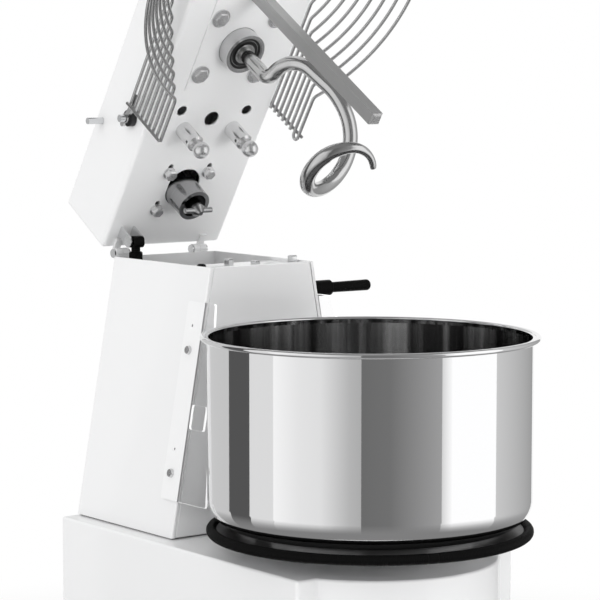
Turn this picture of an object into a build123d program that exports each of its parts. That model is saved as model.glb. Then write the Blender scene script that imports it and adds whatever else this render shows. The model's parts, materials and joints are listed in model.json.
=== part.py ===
import os
from math import atan2, cos, degrees, radians, sin, sqrt, tan

from build123d import *

# Dough mixer with a lifting head, stored with the head raised.
# X runs across the machine, -Y is the front, Z is up, and Z = 0 is the floor.
# The base and column are drawn from the bowl axis at the base top, the head from its hinge.

# Bowl
rim_radius = 192.5  # outside of the rolled rim
bead_radius = 3.0
rim_overhang = 8.0  # rim outside the wall
bowl_wall = 1.5
bowl_depth = 215.0  # floor to the top of the rim
bowl_corner = 30.0  # inside corner between wall and floor
band_inset = 32.5  # foot band inside the wall
band_height = 4.8
band_wall = 2.0

# Turntable
plate_gap = 27.7  # base top to the underside of the turntable plate
plate_inset = 8.5  # turntable plate inside the bowl wall
plate_thickness = 3.0
spigot_height = 3.0  # step that centres the foot band
ring_tube = 6.0
ring_bite = 2.0  # depth of the plate edge in the ring
spindle_radius = 15.0
spindle_flange_radius = 55.0
spindle_flange = 8.0

# Base
foot_height = 40.0
foot_radius = 21.0
foot_inset = 38.0
foot_stud_radius = 5.0
base_height = 265.0
base_width = 312.0
base_margin = 1.0  # base behind the column
base_bend = 5.0
base_top_bend = 3.0
nose_radius = 148.0
strip_reach = 69.3  # front strips ahead of the bowl axis
sheet = 2.0

# Column
column_height = 317.0
column_top_width = 152.8
column_bottom_width = 267.6
column_gap = 10.5  # rim to the column's front face
column_depth = 206.0
column_bend = 2.5
column_flange = 16.0
gasket = 1.5
gasket_inset = 3.0
gasket_width = 12.0
front_return = 5.0
front_lip = 12.0
front_window_low = 20.0
front_window_top = 70.0  # solid band below the column top
seam = 0.7
seam_chamfer = 0.8
rear_window_width = 80.0
rear_window_low = 50.0
rear_window_height = 200.0
rear_cover_lap = 9.0
rear_cover_thickness = 1.5
vent_count = 7
vent_pitch = 14.0
vent_width = 46.0
vent_height = 4.0

# Clear side guards on the column's slanting sides
clear_sheet = 3.0
clear_rear = 30.0  # rear edge behind the column's front face
clear_low = 45.0
clear_high = 276.0
clear_gap = 7.0  # front edge to the bowl
clear_screw_inset = 14.5
clear_screw_heights = (75.8, 219.4)
clear_hole_heights = (104.0, 248.0)
clear_hole_radius = 1.8
notch_ahead = 21.0  # centre of the hand notch ahead of the column's front face
notch_height = 144.0
notch_size = (28.0, 29.0)
screw_radius = 2.5
screw_head_radius = 5.4
screw_head = 3.2
screw_socket = 2.0
screw_socket_depth = 1.6

# Hinge
tilt = 57.1
hinge_overhang = 5.6
hinge_rise = 3.4
hinge_middles = (-63.0, 54.1)  # where the knuckles of each pair meet
knuckle_length = 9.0
knuckle_radius = 6.4
hinge_pin_radius = 3.5
hinge_leaf = 3.0
hinge_leaf_drop = 40.0
hinge_leaf_reach = 18.0
pin_head = 2.0
pin_head_inset = 1.0  # pin head inside the knuckle's edge

# Head
head_width = 177.0
head_height = 93.5
head_underside = 6.76  # above the hinge axis when the head is down
head_rear = 3.9
head_nose = 65.04  # front end ahead of the bowl axis
head_bend = 5.0
cover_thickness = 2.0
cover_lip = 9.0
under_plate = 1.5
under_plate_width = 109.0
under_plate_start = 63.2  # rear edge behind the spiral axis
under_plate_margin = 10.0
spare_hole_spread = 48.2
spare_hole_ahead = 27.0  # outer holes ahead of the lock studs
spare_hole_radius = 6.9
middle_hole_ahead = 15.0
middle_hole_radius = 10.1

# Drive through the column
shaft_ahead = 82.6  # main shaft ahead of the column's rear face
main_shaft_radius = 12.5
hub_radius = 21.0
hub_floor = 8.0
lug_inner = 15.0
lug_height = 16.0
lug_half_angle = 42.0
hub_gap = 2.3  # lug tops to the coupling housing when the head is down
bearing_width = 16.0
bearing_wall = 12.0  # inner to outer radius
bearing_lip = 4.0
housing_wall = 5.0
housing_flange = 26.0
housing_flange_thickness = 6.0
bearing_plate_drop = 84.0  # below the column top
bearing_plate_thickness = 6.0
bearing_plate_length = 80.0

# Coupling on the head
coupling_radius = 22.0
coupling_end_radius = 21.0
coupling_reach = 33.0  # housing end below the head's underside
coupling_depth = 44.0  # housing inside the head
coupling_socket_radius = 16.0
coupling_socket = 25.0
coupling_shaft_radius = 9.0
coupling_tip = 17.0
coupling_pin_radius = 3.5
coupling_pin_reach = 19.5
coupling_pin_drop = 9.5
coupling_flange = (90.0, 84.0)
coupling_bolt_spread = (29.0, 27.5)
coupling_slot = 9.0
coupling_hole_gap = 0.8

# Spiral, its bearing and the breaker bar
spiral_back = 114.36  # spiral axis behind the bowl axis
spiral_side = 3.0  # and to the handle side of the middle
spiral_rod = 8.7
spiral_tip_rod = 3.4
spiral_tip_share = 0.16  # tapered end of the rod
spiral_tip_steps = 6
spiral_shaft_radius = 10.0
spiral_wall_gap = 10.3
spiral_floor_gap = 5.1
spiral_crank = 66.5
spiral_bend = 9.6
spiral_arm_gap = 7.6  # the arm ends this far inside the coil
spiral_arm_angle = 62.0
spiral_start = 81.2
spiral_start_angle = 40.0
spiral_sweep = 357.5
spiral_steps = 16
spiral_spacing = 1.5  # bends closer together near the crank
spiral_growth = 3.3
spiral_tip_radius = 20.5
spiral_housing_radius = 26.2
spiral_housing_reach = 19.3
spiral_housing_depth = 40.0
spiral_bearing_radius = 22.7
spiral_bearing_width = 14.0
spiral_bolt_spread = (41.0, 39.4)
spiral_flange = 98.0
bar_back = 39.2  # breaker bar behind the bowl axis
bar_side = 14.5
bar_floor_gap = 20.3
bar_depth = 60.0
bar_chamfer = 2.4
bar_clamp = 44.0

# Chains and belt
chain_thickness = 6.0
chain_height = 9.0
sprocket_thickness = 6.0
running_gap = 0.4
turntable_sprocket_radius = 126.0
drive_ratio = 7  # main shaft turns for each bowl turn
chain_drop = 70.0  # below the base top
head_sprocket_radius = 28.0
head_chain_depth = 62.0  # above the head's underside
motor_ratio = 4
main_pulley_radius = 70.0
pulley_rim = 8.0
pulley_flange = 4.0
belt_height = 11.0
belt_thickness = 7.0
belt_lift = 24.0  # belt centre above the base's underside
motor_ahead = 131.6  # motor axis ahead of the main shaft
motor_radius = 62.0
motor_length = 136.0
motor_plate_thickness = 4.0
motor_plate_length = 150.0
motor_fins = 24

# Lock between head and column
stud_behind = 31.56  # behind the column's front face
stud_spread = 36.5
lock_shift = 5.0  # studs and lock bar sit this far towards the handle
stud_radius = 10.6
stud_length = 33.5
stud_shoulder = 2.5
stud_neck_radius = 5.0
stud_neck = 7.0
stud_head_radius = 10.4
stud_head = 14.5
bridge_drop = 4.0  # bridge plate below the column top
bridge_thickness = 5.0
bridge_length = 78.0
stud_hole_radius = 16.5
lock_travel = 20.0
lock_bar_thickness = 4.0
lock_bar_margin = 7.6
lock_bar_gap = 0.9  # bar end to the column wall
lock_tab_width = 24.0
keyhole_radius = 15.0
neck_gap = 1.3
rail_depth = 7.4
rail_grip = 3.0
rail_length = 90.0
lock_rod_radius = 5.0
grip_radius = 6.0
grip_end_radius = 6.9
grip_length = 100.0
handle_reach = 187.7
handle_drop = 10.0  # handle below the lock bar
collar_radius = 9.6
collar_length = 42.6
collar_chamfer = 1.0
bumper_radius = 5.6
bumper_height = 4.5
bumper_inset = 17.5  # from the bridge plate's end
bumper_behind = 14.0  # behind the lock studs
bolt_across = 13.0
bolt_head = 8.0
big_bolt_across = 17.0
big_bolt_head = 4.2
big_bolt_flange = 11.9
big_bolt_rim = 2.0
bolt_chamfer = 1.2
bridge_bolt_across = 11.0
bridge_bolts_at = (  # across, behind the lock studs, height
    (-13.5, 19.4, 8.0),
    (9.9, -3.2, 6.0),
    (67.0, -1.6, 10.0),
)

# Lifting strut
strut_x = -61.0
strut_arm = (29.0, 15.8)  # pin along the head and below the hinge axis
strut_pin_radius = 3.0
strut_end_width = 13.5
strut_ear = 3.0
strut_side_gap = 0.6
strut_ear_radius = 7.0
strut_slot_play = 2.6
strut_slot_gap = 0.6
strut_rod_radius = 4.0
strut_neck_radius = 5.5
strut_neck_drop = 12.0  # pin to the top of the sleeve
strut_sleeve_radius = 8.4
strut_sleeve = 24.0
strut_sleeve_chamfer = 1.5
strut_tube_radius = 10.0
strut_tube_length = 150.0
strut_rod_length = 118.0
strut_foot = 6.0

# Wire guard
wire_radius = 2.0
wire_count = 9
wire_pitch = 9.5
guard_low = 45.24  # lowest wire below the hinge axis
guard_inset = 0.5  # lowest wire inside the rim edge
guard_side = 102.0
guard_narrow = 10.4  # bend of the highest wire beside the head
guard_rear = 200.04  # rear ends from the hinge
guard_bend = 8.0
guard_ahead = 5.04  # centre of the round wires ahead of the bowl axis
guard_pivot = (178.1, 35.5)  # from the hinge along the head, and above the hinge axis
pivot_radius = 3.5
pivot_gap = 0.15
arm_thickness = 4.0
arm_half_width = 3.5
arm_eye_radius = 6.0
arm_reach = 36.0
arm_tail = 9.0
pivot_cap_radius = 4.5
pivot_cap = 7.0
bush_radius = 10.0
stop_offset = (-40.06, -53.76)
stop_radius = 4.0
stop_reach = 21.5
weld = 0.05

# Controls and cable entry
panel_size = (60.0, 86.0)
panel_height = 10.0
panel_behind = 130.0  # behind the column's front face
panel_level = 190.0
button_radius = 11.0
button_height = 6.0
button_spacing = 38.0
button_travel = 4.0
button_gap = 0.3
button_stem = 5.0
gland_inset = 56.0  # from the base side
gland_level = 85.0  # above the base's underside
gland_radius = 9.0
gland_bore = 5.0

# Fits
shaft_gap = 0.1  # running shafts in their bearings
seat_gap = 0.05  # fixed round seats
part_gap = 0.3  # plain clearance

# Places worked out from the sizes above
bowl_radius = rim_radius - rim_overhang
band_radius = bowl_radius - band_inset
plate_radius = bowl_radius - plate_inset
column_front = rim_radius + column_gap
column_rear = column_front + column_depth
base_rear = column_rear + base_margin
base_top = foot_height + base_height
hinge_back = column_rear + hinge_overhang
head_top = head_underside + head_height
rear_reach = hinge_back - head_rear * cos(radians(tilt)) + head_top * sin(radians(tilt))
bowl_y = (rim_radius - rear_reach) / 2
hinge_y = bowl_y + hinge_back
hinge_level = column_height + hinge_rise
hinge_z = base_top + hinge_level

lean = (column_bottom_width - column_top_width) / 2 / column_height
lean_angle = degrees(atan2(lean, 1))
plate_top = plate_gap + plate_thickness
bowl_floor = plate_top + band_height + bowl_wall
rim_level = bowl_floor + bowl_depth - bead_radius
shaft_back = column_rear - shaft_ahead
motor_back = shaft_back - motor_ahead
stud_back = column_front + stud_behind
coupling_l = hinge_back - shaft_back
stud_l = hinge_back - stud_back
spiral_l = hinge_back - spiral_back
bar_l = hinge_back - bar_back
head_front = hinge_back + head_nose
head_half = head_width / 2

top_plane = Plane((0, bowl_y, base_top))
bowl_axis = Axis((0, bowl_y, 0), (0, 0, 1))
down_direction = (0, -sin(radians(tilt)), -cos(radians(tilt)))
along_direction = (0, -cos(radians(tilt)), sin(radians(tilt)))
head_plane = Plane((0, hinge_y, hinge_z), x_dir=(1, 0, 0), z_dir=down_direction)
head_side = Plane((0, hinge_y, hinge_z), x_dir=along_direction, z_dir=(1, 0, 0))


def upright(y):
    return Plane((0, bowl_y + y, base_top), x_dir=(1, 0, 0), z_dir=(0, -1, 0))


def side_face(side):
    normal = (side * cos(radians(lean_angle)), 0, sin(radians(lean_angle)))
    return Plane((side * column_bottom_width / 2, bowl_y, base_top), x_dir=(0, side, 0), z_dir=normal)


def up_slope(z):
    return z / cos(radians(lean_angle))


def column_half(z):
    return column_bottom_width / 2 - lean * z


def post(radius, low, high, x=0, y=0, mode=Mode.ADD):
    with Locations((x, y, low)):
        Cylinder(radius, high - low, align=(Align.CENTER, Align.CENTER, Align.MIN), mode=mode)


def taper(low_radius, high_radius, low, high, x=0, y=0, mode=Mode.ADD):
    with Locations((x, y, low)):
        Cone(low_radius, high_radius, high - low, align=(Align.CENTER, Align.CENTER, Align.MIN), mode=mode)


def rod_x(radius, low, high, y, z, mode=Mode.ADD):
    with Locations(Location((low, y, z), (0, 90, 0))):
        Cylinder(radius, high - low, align=(Align.CENTER, Align.CENTER, Align.MIN), mode=mode)


def block(x, y, z, mode=Mode.ADD):
    with Locations(((x[0] + x[1]) / 2, (y[0] + y[1]) / 2, (z[0] + z[1]) / 2)):
        Box(x[1] - x[0], y[1] - y[0], z[1] - z[0], mode=mode)


def loop_outline(near_radius, far_radius, distance, mode=Mode.ADD):
    slope = (near_radius - far_radius) / distance
    side = sqrt(1 - slope**2)
    Circle(near_radius, mode=mode)
    with Locations((0, distance)):
        Circle(far_radius, mode=mode)
    near = (near_radius * side, near_radius * slope)
    far = (far_radius * side, distance + far_radius * slope)
    Polygon(near, far, (-far[0], far[1]), (-near[0], near[1]), align=None, mode=mode)


def save(piece, name, *added):
    shape = piece.part
    if added:
        shape = Compound([solid for each in (piece, *added) for solid in each.solids()])
    shape.label = name
    export_step(shape, f"parts/{name}.step")


os.makedirs("parts", exist_ok=True)

# Base: a folded shell with a round nose under the bowl, a bottom plate and four feet
foot_spots = [
    (side * (base_width / 2 - foot_inset), y)
    for side in (-1, 1)
    for y in (base_rear - foot_inset, foot_inset - strip_reach)
]
bearing_outer = main_shaft_radius + bearing_wall
spindle_bearing_outer = spindle_radius + bearing_wall
main_housing_radius = bearing_outer + housing_wall
spindle_housing_radius = spindle_bearing_outer + housing_wall
gland_x = gland_inset - base_width / 2
gland_z = gland_level - base_height


def base_outline(inset):
    depth = base_rear + strip_reach
    with Locations((0, (base_rear - strip_reach) / 2)):
        Rectangle(base_width - 2 * inset, depth - 2 * inset)
    Circle(nose_radius - inset)


with BuildPart(top_plane) as base_shell:
    with BuildSketch(top_plane.offset(-base_height)) as base_section:
        base_outline(0)
        fillet(base_section.vertices(), base_bend)
    extrude(amount=base_height)
    fillet(base_shell.faces().sort_by(Axis.Z)[-1].outer_wire().edges(), base_top_bend)
    with BuildSketch(top_plane.offset(-base_height)) as base_inside:
        base_outline(sheet)
        fillet(base_inside.vertices(), base_bend - sheet)
    extrude(amount=base_height - sheet, mode=Mode.SUBTRACT)
    post(spindle_housing_radius + part_gap, -base_height, 0, mode=Mode.SUBTRACT)
    post(main_housing_radius + part_gap, -base_height, 0, y=shaft_back, mode=Mode.SUBTRACT)
    with Locations(Location((gland_x, base_rear, gland_z), (90, 0, 0))):
        Cylinder(gland_radius + part_gap, 4 * sheet, mode=Mode.SUBTRACT)
save(base_shell, "base_shell")

with BuildPart(top_plane) as base_bottom_plate:
    with BuildSketch(top_plane.offset(-base_height)) as bottom_section:
        base_outline(sheet + part_gap)
        fillet(bottom_section.vertices(), base_bend - sheet)
        with Locations(*foot_spots):
            Circle(foot_stud_radius + part_gap, mode=Mode.SUBTRACT)
    extrude(amount=sheet)
save(base_bottom_plate, "base_bottom_plate")

with BuildPart(top_plane) as feet:
    for x, y in foot_spots:
        taper(foot_radius, foot_radius - 3, -base_top, -base_height, x, y)
        post(foot_stud_radius, -base_height, -base_height + 6 * sheet, x, y)
save(feet, "feet")

with BuildPart(top_plane) as cable_gland:
    with Locations(Location((gland_x, base_rear - 8, gland_z), (-90, 0, 0))):
        Cylinder(gland_radius, 8 + sheet, align=(Align.CENTER, Align.CENTER, Align.MIN))
    with Locations(Location((gland_x, base_rear, gland_z), (-90, 0, 0))):
        Cylinder(gland_radius + 3, 5, align=(Align.CENTER, Align.CENTER, Align.MIN))
        Cone(gland_radius, gland_bore + 2, 18, align=(Align.CENTER, Align.CENTER, Align.MIN))
    with Locations(Location((gland_x, base_rear, gland_z), (90, 0, 0))):
        Cylinder(gland_bore, 60, mode=Mode.SUBTRACT)
save(cable_gland, "cable_gland")

# Column: a tapering shell on a dark gasket, with a set-in front plate and a rear cover
shell_width = sheet / cos(radians(lean_angle))
front_wall = 2 * sheet
lock_level = hinge_level + head_underside - stud_length - stud_neck / 2
handle_level = lock_level - handle_drop
rear_window_top = rear_window_low + rear_window_height
rear_cover_half = rear_window_width / 2 + rear_cover_lap
rear_screw_half = rear_window_width / 2 + rear_cover_lap / 2
rear_screw_spots = [
    (x, z)
    for x in (-rear_screw_half, rear_screw_half)
    for z in (rear_window_low - rear_cover_lap / 2, rear_window_top + rear_cover_lap / 2)
]
clear_screw_back = column_front + clear_rear - clear_screw_inset


def column_profile(inset, low, high, mode=Mode.ADD):
    low_half = column_half(low) - inset
    high_half = column_half(high) - inset
    corners = [(-low_half, low), (low_half, low), (high_half, high), (-high_half, high)]
    Polygon(*corners, align=None, mode=mode)


with BuildPart(top_plane) as column_gasket:
    foot_half = column_half(gasket) - gasket_inset
    gasket_y = (column_front + gasket_inset, column_rear - gasket_inset)
    block((-foot_half, foot_half), gasket_y, (0, gasket))
    block(
        (gasket_width - foot_half, foot_half - gasket_width),
        (gasket_y[0] + gasket_width, gasket_y[1] - gasket_width),
        (0, gasket),
        mode=Mode.SUBTRACT,
    )
save(column_gasket, "column_gasket")

with BuildPart(top_plane) as column_shell:
    with BuildSketch(upright(column_front)):
        column_profile(0, gasket, column_height)
    extrude(amount=-column_depth)
    corner_edges = column_shell.edges().filter_by(lambda e: abs(e.tangent_at(0).Z) > 0.5)
    fillet(corner_edges, column_bend)
    with BuildSketch(upright(column_front + front_wall)):
        column_profile(shell_width, gasket + sheet, column_height)
    extrude(amount=front_wall + sheet - column_depth, mode=Mode.SUBTRACT)
    floor_half = column_half(gasket) - column_flange
    block(
        (-floor_half, floor_half),
        (column_front + column_flange, column_rear - column_flange),
        (0, 2 * gasket + sheet),
        mode=Mode.SUBTRACT,
    )
    with BuildSketch(upright(column_front)):
        column_profile(front_return, gasket, column_height)
    extrude(amount=-sheet, mode=Mode.SUBTRACT)
    with BuildSketch(upright(column_front)):
        column_profile(front_return + front_lip, front_window_low, column_height - front_window_top)
    extrude(amount=-front_wall, mode=Mode.SUBTRACT)
    block(
        (-rear_window_width / 2, rear_window_width / 2),
        (column_rear - 2 * sheet, column_rear),
        (rear_window_low, rear_window_top),
        mode=Mode.SUBTRACT,
    )
    for x, z in rear_screw_spots:
        with Locations(Location((x, column_rear, z), (90, 0, 0))):
            Cylinder(screw_radius + seat_gap, 4 * sheet, mode=Mode.SUBTRACT)
    for side in (-1, 1):
        with BuildSketch(side_face(side)):
            for z in clear_screw_heights:
                with Locations((side * clear_screw_back, up_slope(z))):
                    Circle(screw_radius + seat_gap)
            for z in clear_hole_heights:
                with Locations((side * clear_screw_back, up_slope(z))):
                    Circle(clear_hole_radius)
        extrude(amount=-2 * sheet, mode=Mode.SUBTRACT)
    rod_x(collar_radius + seat_gap, 0, column_bottom_width, stud_back, handle_level, mode=Mode.SUBTRACT)
save(column_shell, "column_shell")

with BuildPart() as column_front_plate:
    with BuildSketch(upright(column_front)):
        column_profile(front_return + seam, gasket + seam, column_height)
    extrude(amount=-sheet)
    chamfer(column_front_plate.faces().sort_by(Axis.Y)[0].edges(), seam_chamfer)
save(column_front_plate, "column_front_plate")

with BuildPart(top_plane) as column_rear_cover:
    block(
        (-rear_cover_half, rear_cover_half),
        (column_rear, column_rear + rear_cover_thickness),
        (rear_window_low - rear_cover_lap, rear_window_top + rear_cover_lap),
    )
    for row in range(vent_count):
        level = rear_window_low + rear_window_height / 2 + (row - (vent_count - 1) / 2) * vent_pitch
        with BuildSketch(upright(column_rear)):
            with Locations((0, level)):
                SlotOverall(vent_width, vent_height)
        extrude(amount=-2 * sheet, mode=Mode.SUBTRACT)
    for x, z in rear_screw_spots:
        with Locations(Location((x, column_rear, z), (90, 0, 0))):
            Cylinder(screw_radius + seat_gap, 4 * sheet, mode=Mode.SUBTRACT)
save(column_rear_cover, "column_rear_cover")

# Clear guards: flat sheets that close the gap between column and bowl on both sides
clear_top_x = column_half(clear_high) + clear_sheet
clear_low_x = column_half(clear_low) + clear_sheet
clear_top_front = sqrt((rim_radius + clear_gap) ** 2 - clear_top_x**2)
clear_low_front = sqrt((bowl_radius + clear_gap) ** 2 - clear_low_x**2)

with BuildPart(top_plane) as clear_side_guards:
    for side in (-1, 1):
        with BuildSketch(side_face(side)) as clear_outline:
            with BuildLine():
                Polyline(
                    (side * (column_front + clear_rear), up_slope(clear_low)),
                    (side * (column_front + clear_rear), up_slope(clear_high)),
                    (side * clear_top_front, up_slope(clear_high)),
                    (side * clear_low_front, up_slope(clear_low)),
                    close=True,
                )
            make_face()
            fillet(clear_outline.vertices(), clear_sheet)
            with Locations((side * (column_front - notch_ahead), up_slope(notch_height))):
                RectangleRounded(*notch_size, clear_sheet, mode=Mode.SUBTRACT)
            for z in clear_screw_heights:
                with Locations((side * clear_screw_back, up_slope(z))):
                    Circle(screw_radius + seat_gap, mode=Mode.SUBTRACT)
            for z in clear_hole_heights:
                with Locations((side * clear_screw_back, up_slope(z))):
                    Circle(clear_hole_radius, mode=Mode.SUBTRACT)
        extrude(amount=clear_sheet)
    rod_x(collar_radius + part_gap, 0, column_bottom_width, stud_back, handle_level, mode=Mode.SUBTRACT)
save(clear_side_guards, "clear_side_guards")

with BuildPart(top_plane) as column_screws:
    for side in (-1, 1):
        for z in clear_screw_heights:
            with BuildSketch(side_face(side).offset(-2 * sheet)):
                with Locations((side * clear_screw_back, up_slope(z))):
                    Circle(screw_radius)
            extrude(amount=2 * sheet + clear_sheet)
            with BuildSketch(side_face(side).offset(clear_sheet)):
                with Locations((side * clear_screw_back, up_slope(z))):
                    Circle(screw_head_radius)
            extrude(amount=screw_head, taper=15)
            with BuildSketch(side_face(side).offset(clear_sheet + screw_head)):
                with Locations((side * clear_screw_back, up_slope(z))):
                    RegularPolygon(screw_socket, 6)
            extrude(amount=-screw_socket_depth, mode=Mode.SUBTRACT)
    for x, z in rear_screw_spots:
        with BuildSketch(upright(column_rear - 2 * sheet)):
            with Locations((x, z)):
                Circle(screw_radius)
        extrude(amount=-2 * sheet - rear_cover_thickness)
        with BuildSketch(upright(column_rear + rear_cover_thickness)):
            with Locations((x, z)):
                Circle(screw_head_radius)
        extrude(amount=-screw_head, taper=15)
        with BuildSketch(upright(column_rear + rear_cover_thickness + screw_head)):
            with Locations((x, z)):
                RegularPolygon(screw_socket, 6)
        extrude(amount=screw_socket_depth, mode=Mode.SUBTRACT)
save(column_screws, "column_screws")

# Bridge plate under the column top: it takes the lock studs and carries the rails of the lock bar
bridge_top = column_height - bridge_drop
bridge_low = bridge_top - bridge_thickness
bridge_half = column_half(bridge_top) - shell_width - part_gap
bridge_y = (column_front + front_wall, column_front + front_wall + bridge_length)
lock_half = keyhole_radius + lock_bar_margin
lock_y = (stud_back - lock_half, stud_back + lock_half)
lock_z = (lock_level - lock_bar_thickness / 2, lock_level + lock_bar_thickness / 2)
groove_z = (lock_z[0] - running_gap, lock_z[1] + running_gap)
stud_spots = [lock_shift - stud_spread, lock_shift + stud_spread]

with BuildPart(top_plane) as bridge_plate:
    block((-bridge_half, bridge_half), bridge_y, (bridge_low, bridge_top))
    for x in stud_spots:
        post(stud_hole_radius, bridge_low, bridge_top, x, stud_back, mode=Mode.SUBTRACT)
    for side in (-1, 1):
        edge = stud_back + side * lock_half
        rail_y = sorted((edge - side * rail_grip, edge + side * (rail_depth - rail_grip)))
        block((-rail_length / 2, rail_length / 2), rail_y, (lock_z[0] - rail_grip, bridge_low))
    block(
        (-rail_length, rail_length),
        (lock_y[0] - running_gap, lock_y[1] + running_gap),
        groove_z,
        mode=Mode.SUBTRACT,
    )
save(bridge_plate, "bridge_plate")

with BuildPart(top_plane) as bridge_bolts:
    for x, behind, height in bridge_bolts_at:
        with BuildSketch(top_plane.offset(bridge_top)):
            with Locations((x, stud_back + behind)):
                RegularPolygon(bridge_bolt_across / 2, 6, major_radius=False)
        extrude(amount=height)
    bolt_tops = bridge_bolts.faces().filter_by(lambda face: face.normal_at().Z > 0.9)
    chamfer(bolt_tops.edges(), bolt_chamfer)
save(bridge_bolts, "bridge_bolts")

with BuildPart(top_plane) as head_bumper:
    bumper_x = bumper_inset - bridge_half
    post(bumper_radius, bridge_top, bridge_top + bumper_height, bumper_x, stud_back + bumper_behind)
    fillet(head_bumper.edges().sort_by(Axis.Z)[-1], bumper_height * 0.7)
save(head_bumper, "head_bumper")

with BuildPart(top_plane) as lock_collar:
    collar_x = column_half(handle_level) - 2 * shell_width
    collar_end = collar_x + 2 * shell_width + collar_length
    rod_x(collar_radius, collar_x, collar_end, stud_back, handle_level)
    chamfer(lock_collar.faces().sort_by(Axis.X)[-1].edges(), collar_chamfer)
    rod_x(grip_end_radius + running_gap, 0, 2 * collar_end, stud_back, handle_level, mode=Mode.SUBTRACT)
save(lock_collar, "lock_collar")

with BuildPart(top_plane) as lock_bar:
    bar_left = stud_spots[0] - keyhole_radius - lock_bar_thickness
    bar_right = column_half(lock_z[1]) - shell_width - lock_bar_gap
    block((bar_left, bar_right), lock_y, lock_z)
    block(
        (bar_right - lock_bar_thickness, bar_right),
        (stud_back - lock_tab_width / 2, stud_back + lock_tab_width / 2),
        (handle_level - 2 * lock_rod_radius, lock_level),
    )
    for x in stud_spots:
        post(keyhole_radius, *lock_z, x, stud_back, mode=Mode.SUBTRACT)
        slot_end = x + lock_travel
        post(stud_neck_radius + neck_gap, *lock_z, slot_end, stud_back, mode=Mode.SUBTRACT)
        block(
            (x, slot_end),
            (stud_back - stud_neck_radius - neck_gap, stud_back + stud_neck_radius + neck_gap),
            lock_z,
            mode=Mode.SUBTRACT,
        )
save(lock_bar, "lock_bar")

with BuildPart(top_plane) as lock_handle:
    grip_start = handle_reach - grip_length
    rod_x(lock_rod_radius, bar_right, handle_reach - 2 * grip_radius, stud_back, handle_level)
    with Locations(Location((grip_start, stud_back, handle_level), (0, 90, 0))):
        Cone(grip_radius, grip_end_radius, grip_length, align=(Align.CENTER, Align.CENTER, Align.MIN))
    fillet(lock_handle.faces().sort_by(Axis.X)[-1].edges(), grip_radius * 0.7)
save(lock_handle, "lock_handle")

# Hinge: knuckles and leaves on the column, matching ones on the head, and a pin on each side
pin_head_radius = knuckle_radius - pin_head_inset
hinge_sides = list(zip((-1, 1), hinge_middles))

with BuildPart(top_plane) as column_hinge_leaves:
    for side, middle in hinge_sides:
        span = sorted((middle - side * knuckle_length, middle))
        rod_x(knuckle_radius, *span, hinge_back, hinge_level)
        block(span, (column_rear, column_rear + hinge_leaf), (hinge_level - hinge_leaf_drop, hinge_level))
        rod_x(hinge_pin_radius + seat_gap, *span, hinge_back, hinge_level, mode=Mode.SUBTRACT)
save(column_hinge_leaves, "column_hinge_leaves")

with BuildPart(top_plane) as hinge_pins:
    for side, middle in hinge_sides:
        inner = middle - side * (knuckle_length + running_gap)
        outer = middle + side * (knuckle_length + 2 * running_gap)
        rod_x(hinge_pin_radius, *sorted((inner, outer)), hinge_back, hinge_level)
        rod_x(pin_head_radius, *sorted((inner, inner - side * pin_head)), hinge_back, hinge_level)
        rod_x(pin_head_radius, *sorted((outer, outer + side * pin_head)), hinge_back, hinge_level)
save(hinge_pins, "hinge_pins")

with BuildPart(head_plane) as head_hinge_leaves:
    for side, middle in hinge_sides:
        start = middle + side * running_gap
        span = sorted((start, start + side * knuckle_length))
        rod_x(knuckle_radius, *span, 0, 0)
        block(span, (0, hinge_leaf_reach), (-head_underside, hinge_leaf - head_underside))
        rod_x(hinge_pin_radius + shaft_gap, *span, 0, 0, mode=Mode.SUBTRACT)
save(head_hinge_leaves, "head_hinge_leaves")

# Lifting strut: its rod end has a slot that takes up the swing of the pin on the head
pin_radius_of_swing = sqrt(strut_arm[0] ** 2 + strut_arm[1] ** 2)
strut_back = hinge_back - (strut_arm[0] + pin_radius_of_swing) / 2
swing_rise = strut_arm[0] * sin(radians(tilt)) - strut_arm[1] * cos(radians(tilt))
strut_pin_open = hinge_level + swing_rise
strut_pin_down = hinge_level - strut_arm[1]
strut_sleeve_top = strut_pin_open - strut_neck_drop
strut_sleeve_low = strut_sleeve_top - strut_sleeve
strut_tube_top = strut_sleeve_low - (strut_pin_open - strut_pin_down) - part_gap
strut_tube_low = strut_tube_top - strut_tube_length
ear_inner = strut_end_width / 2 + strut_side_gap

with BuildPart(head_plane) as strut_bracket:
    for side in (-1, 1):
        span = sorted((strut_x + side * ear_inner, strut_x + side * (ear_inner + strut_ear)))
        rod_x(strut_ear_radius, *span, strut_arm[0], strut_arm[1])
        block(
            span,
            (strut_arm[0] - strut_ear_radius, strut_arm[0] + strut_ear_radius),
            (-head_underside, strut_arm[1]),
        )
    ear_outer = ear_inner + strut_ear
    rod_x(strut_pin_radius, strut_x - ear_outer, strut_x + ear_outer, *strut_arm)
save(strut_bracket, "strut_bracket")

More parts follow.
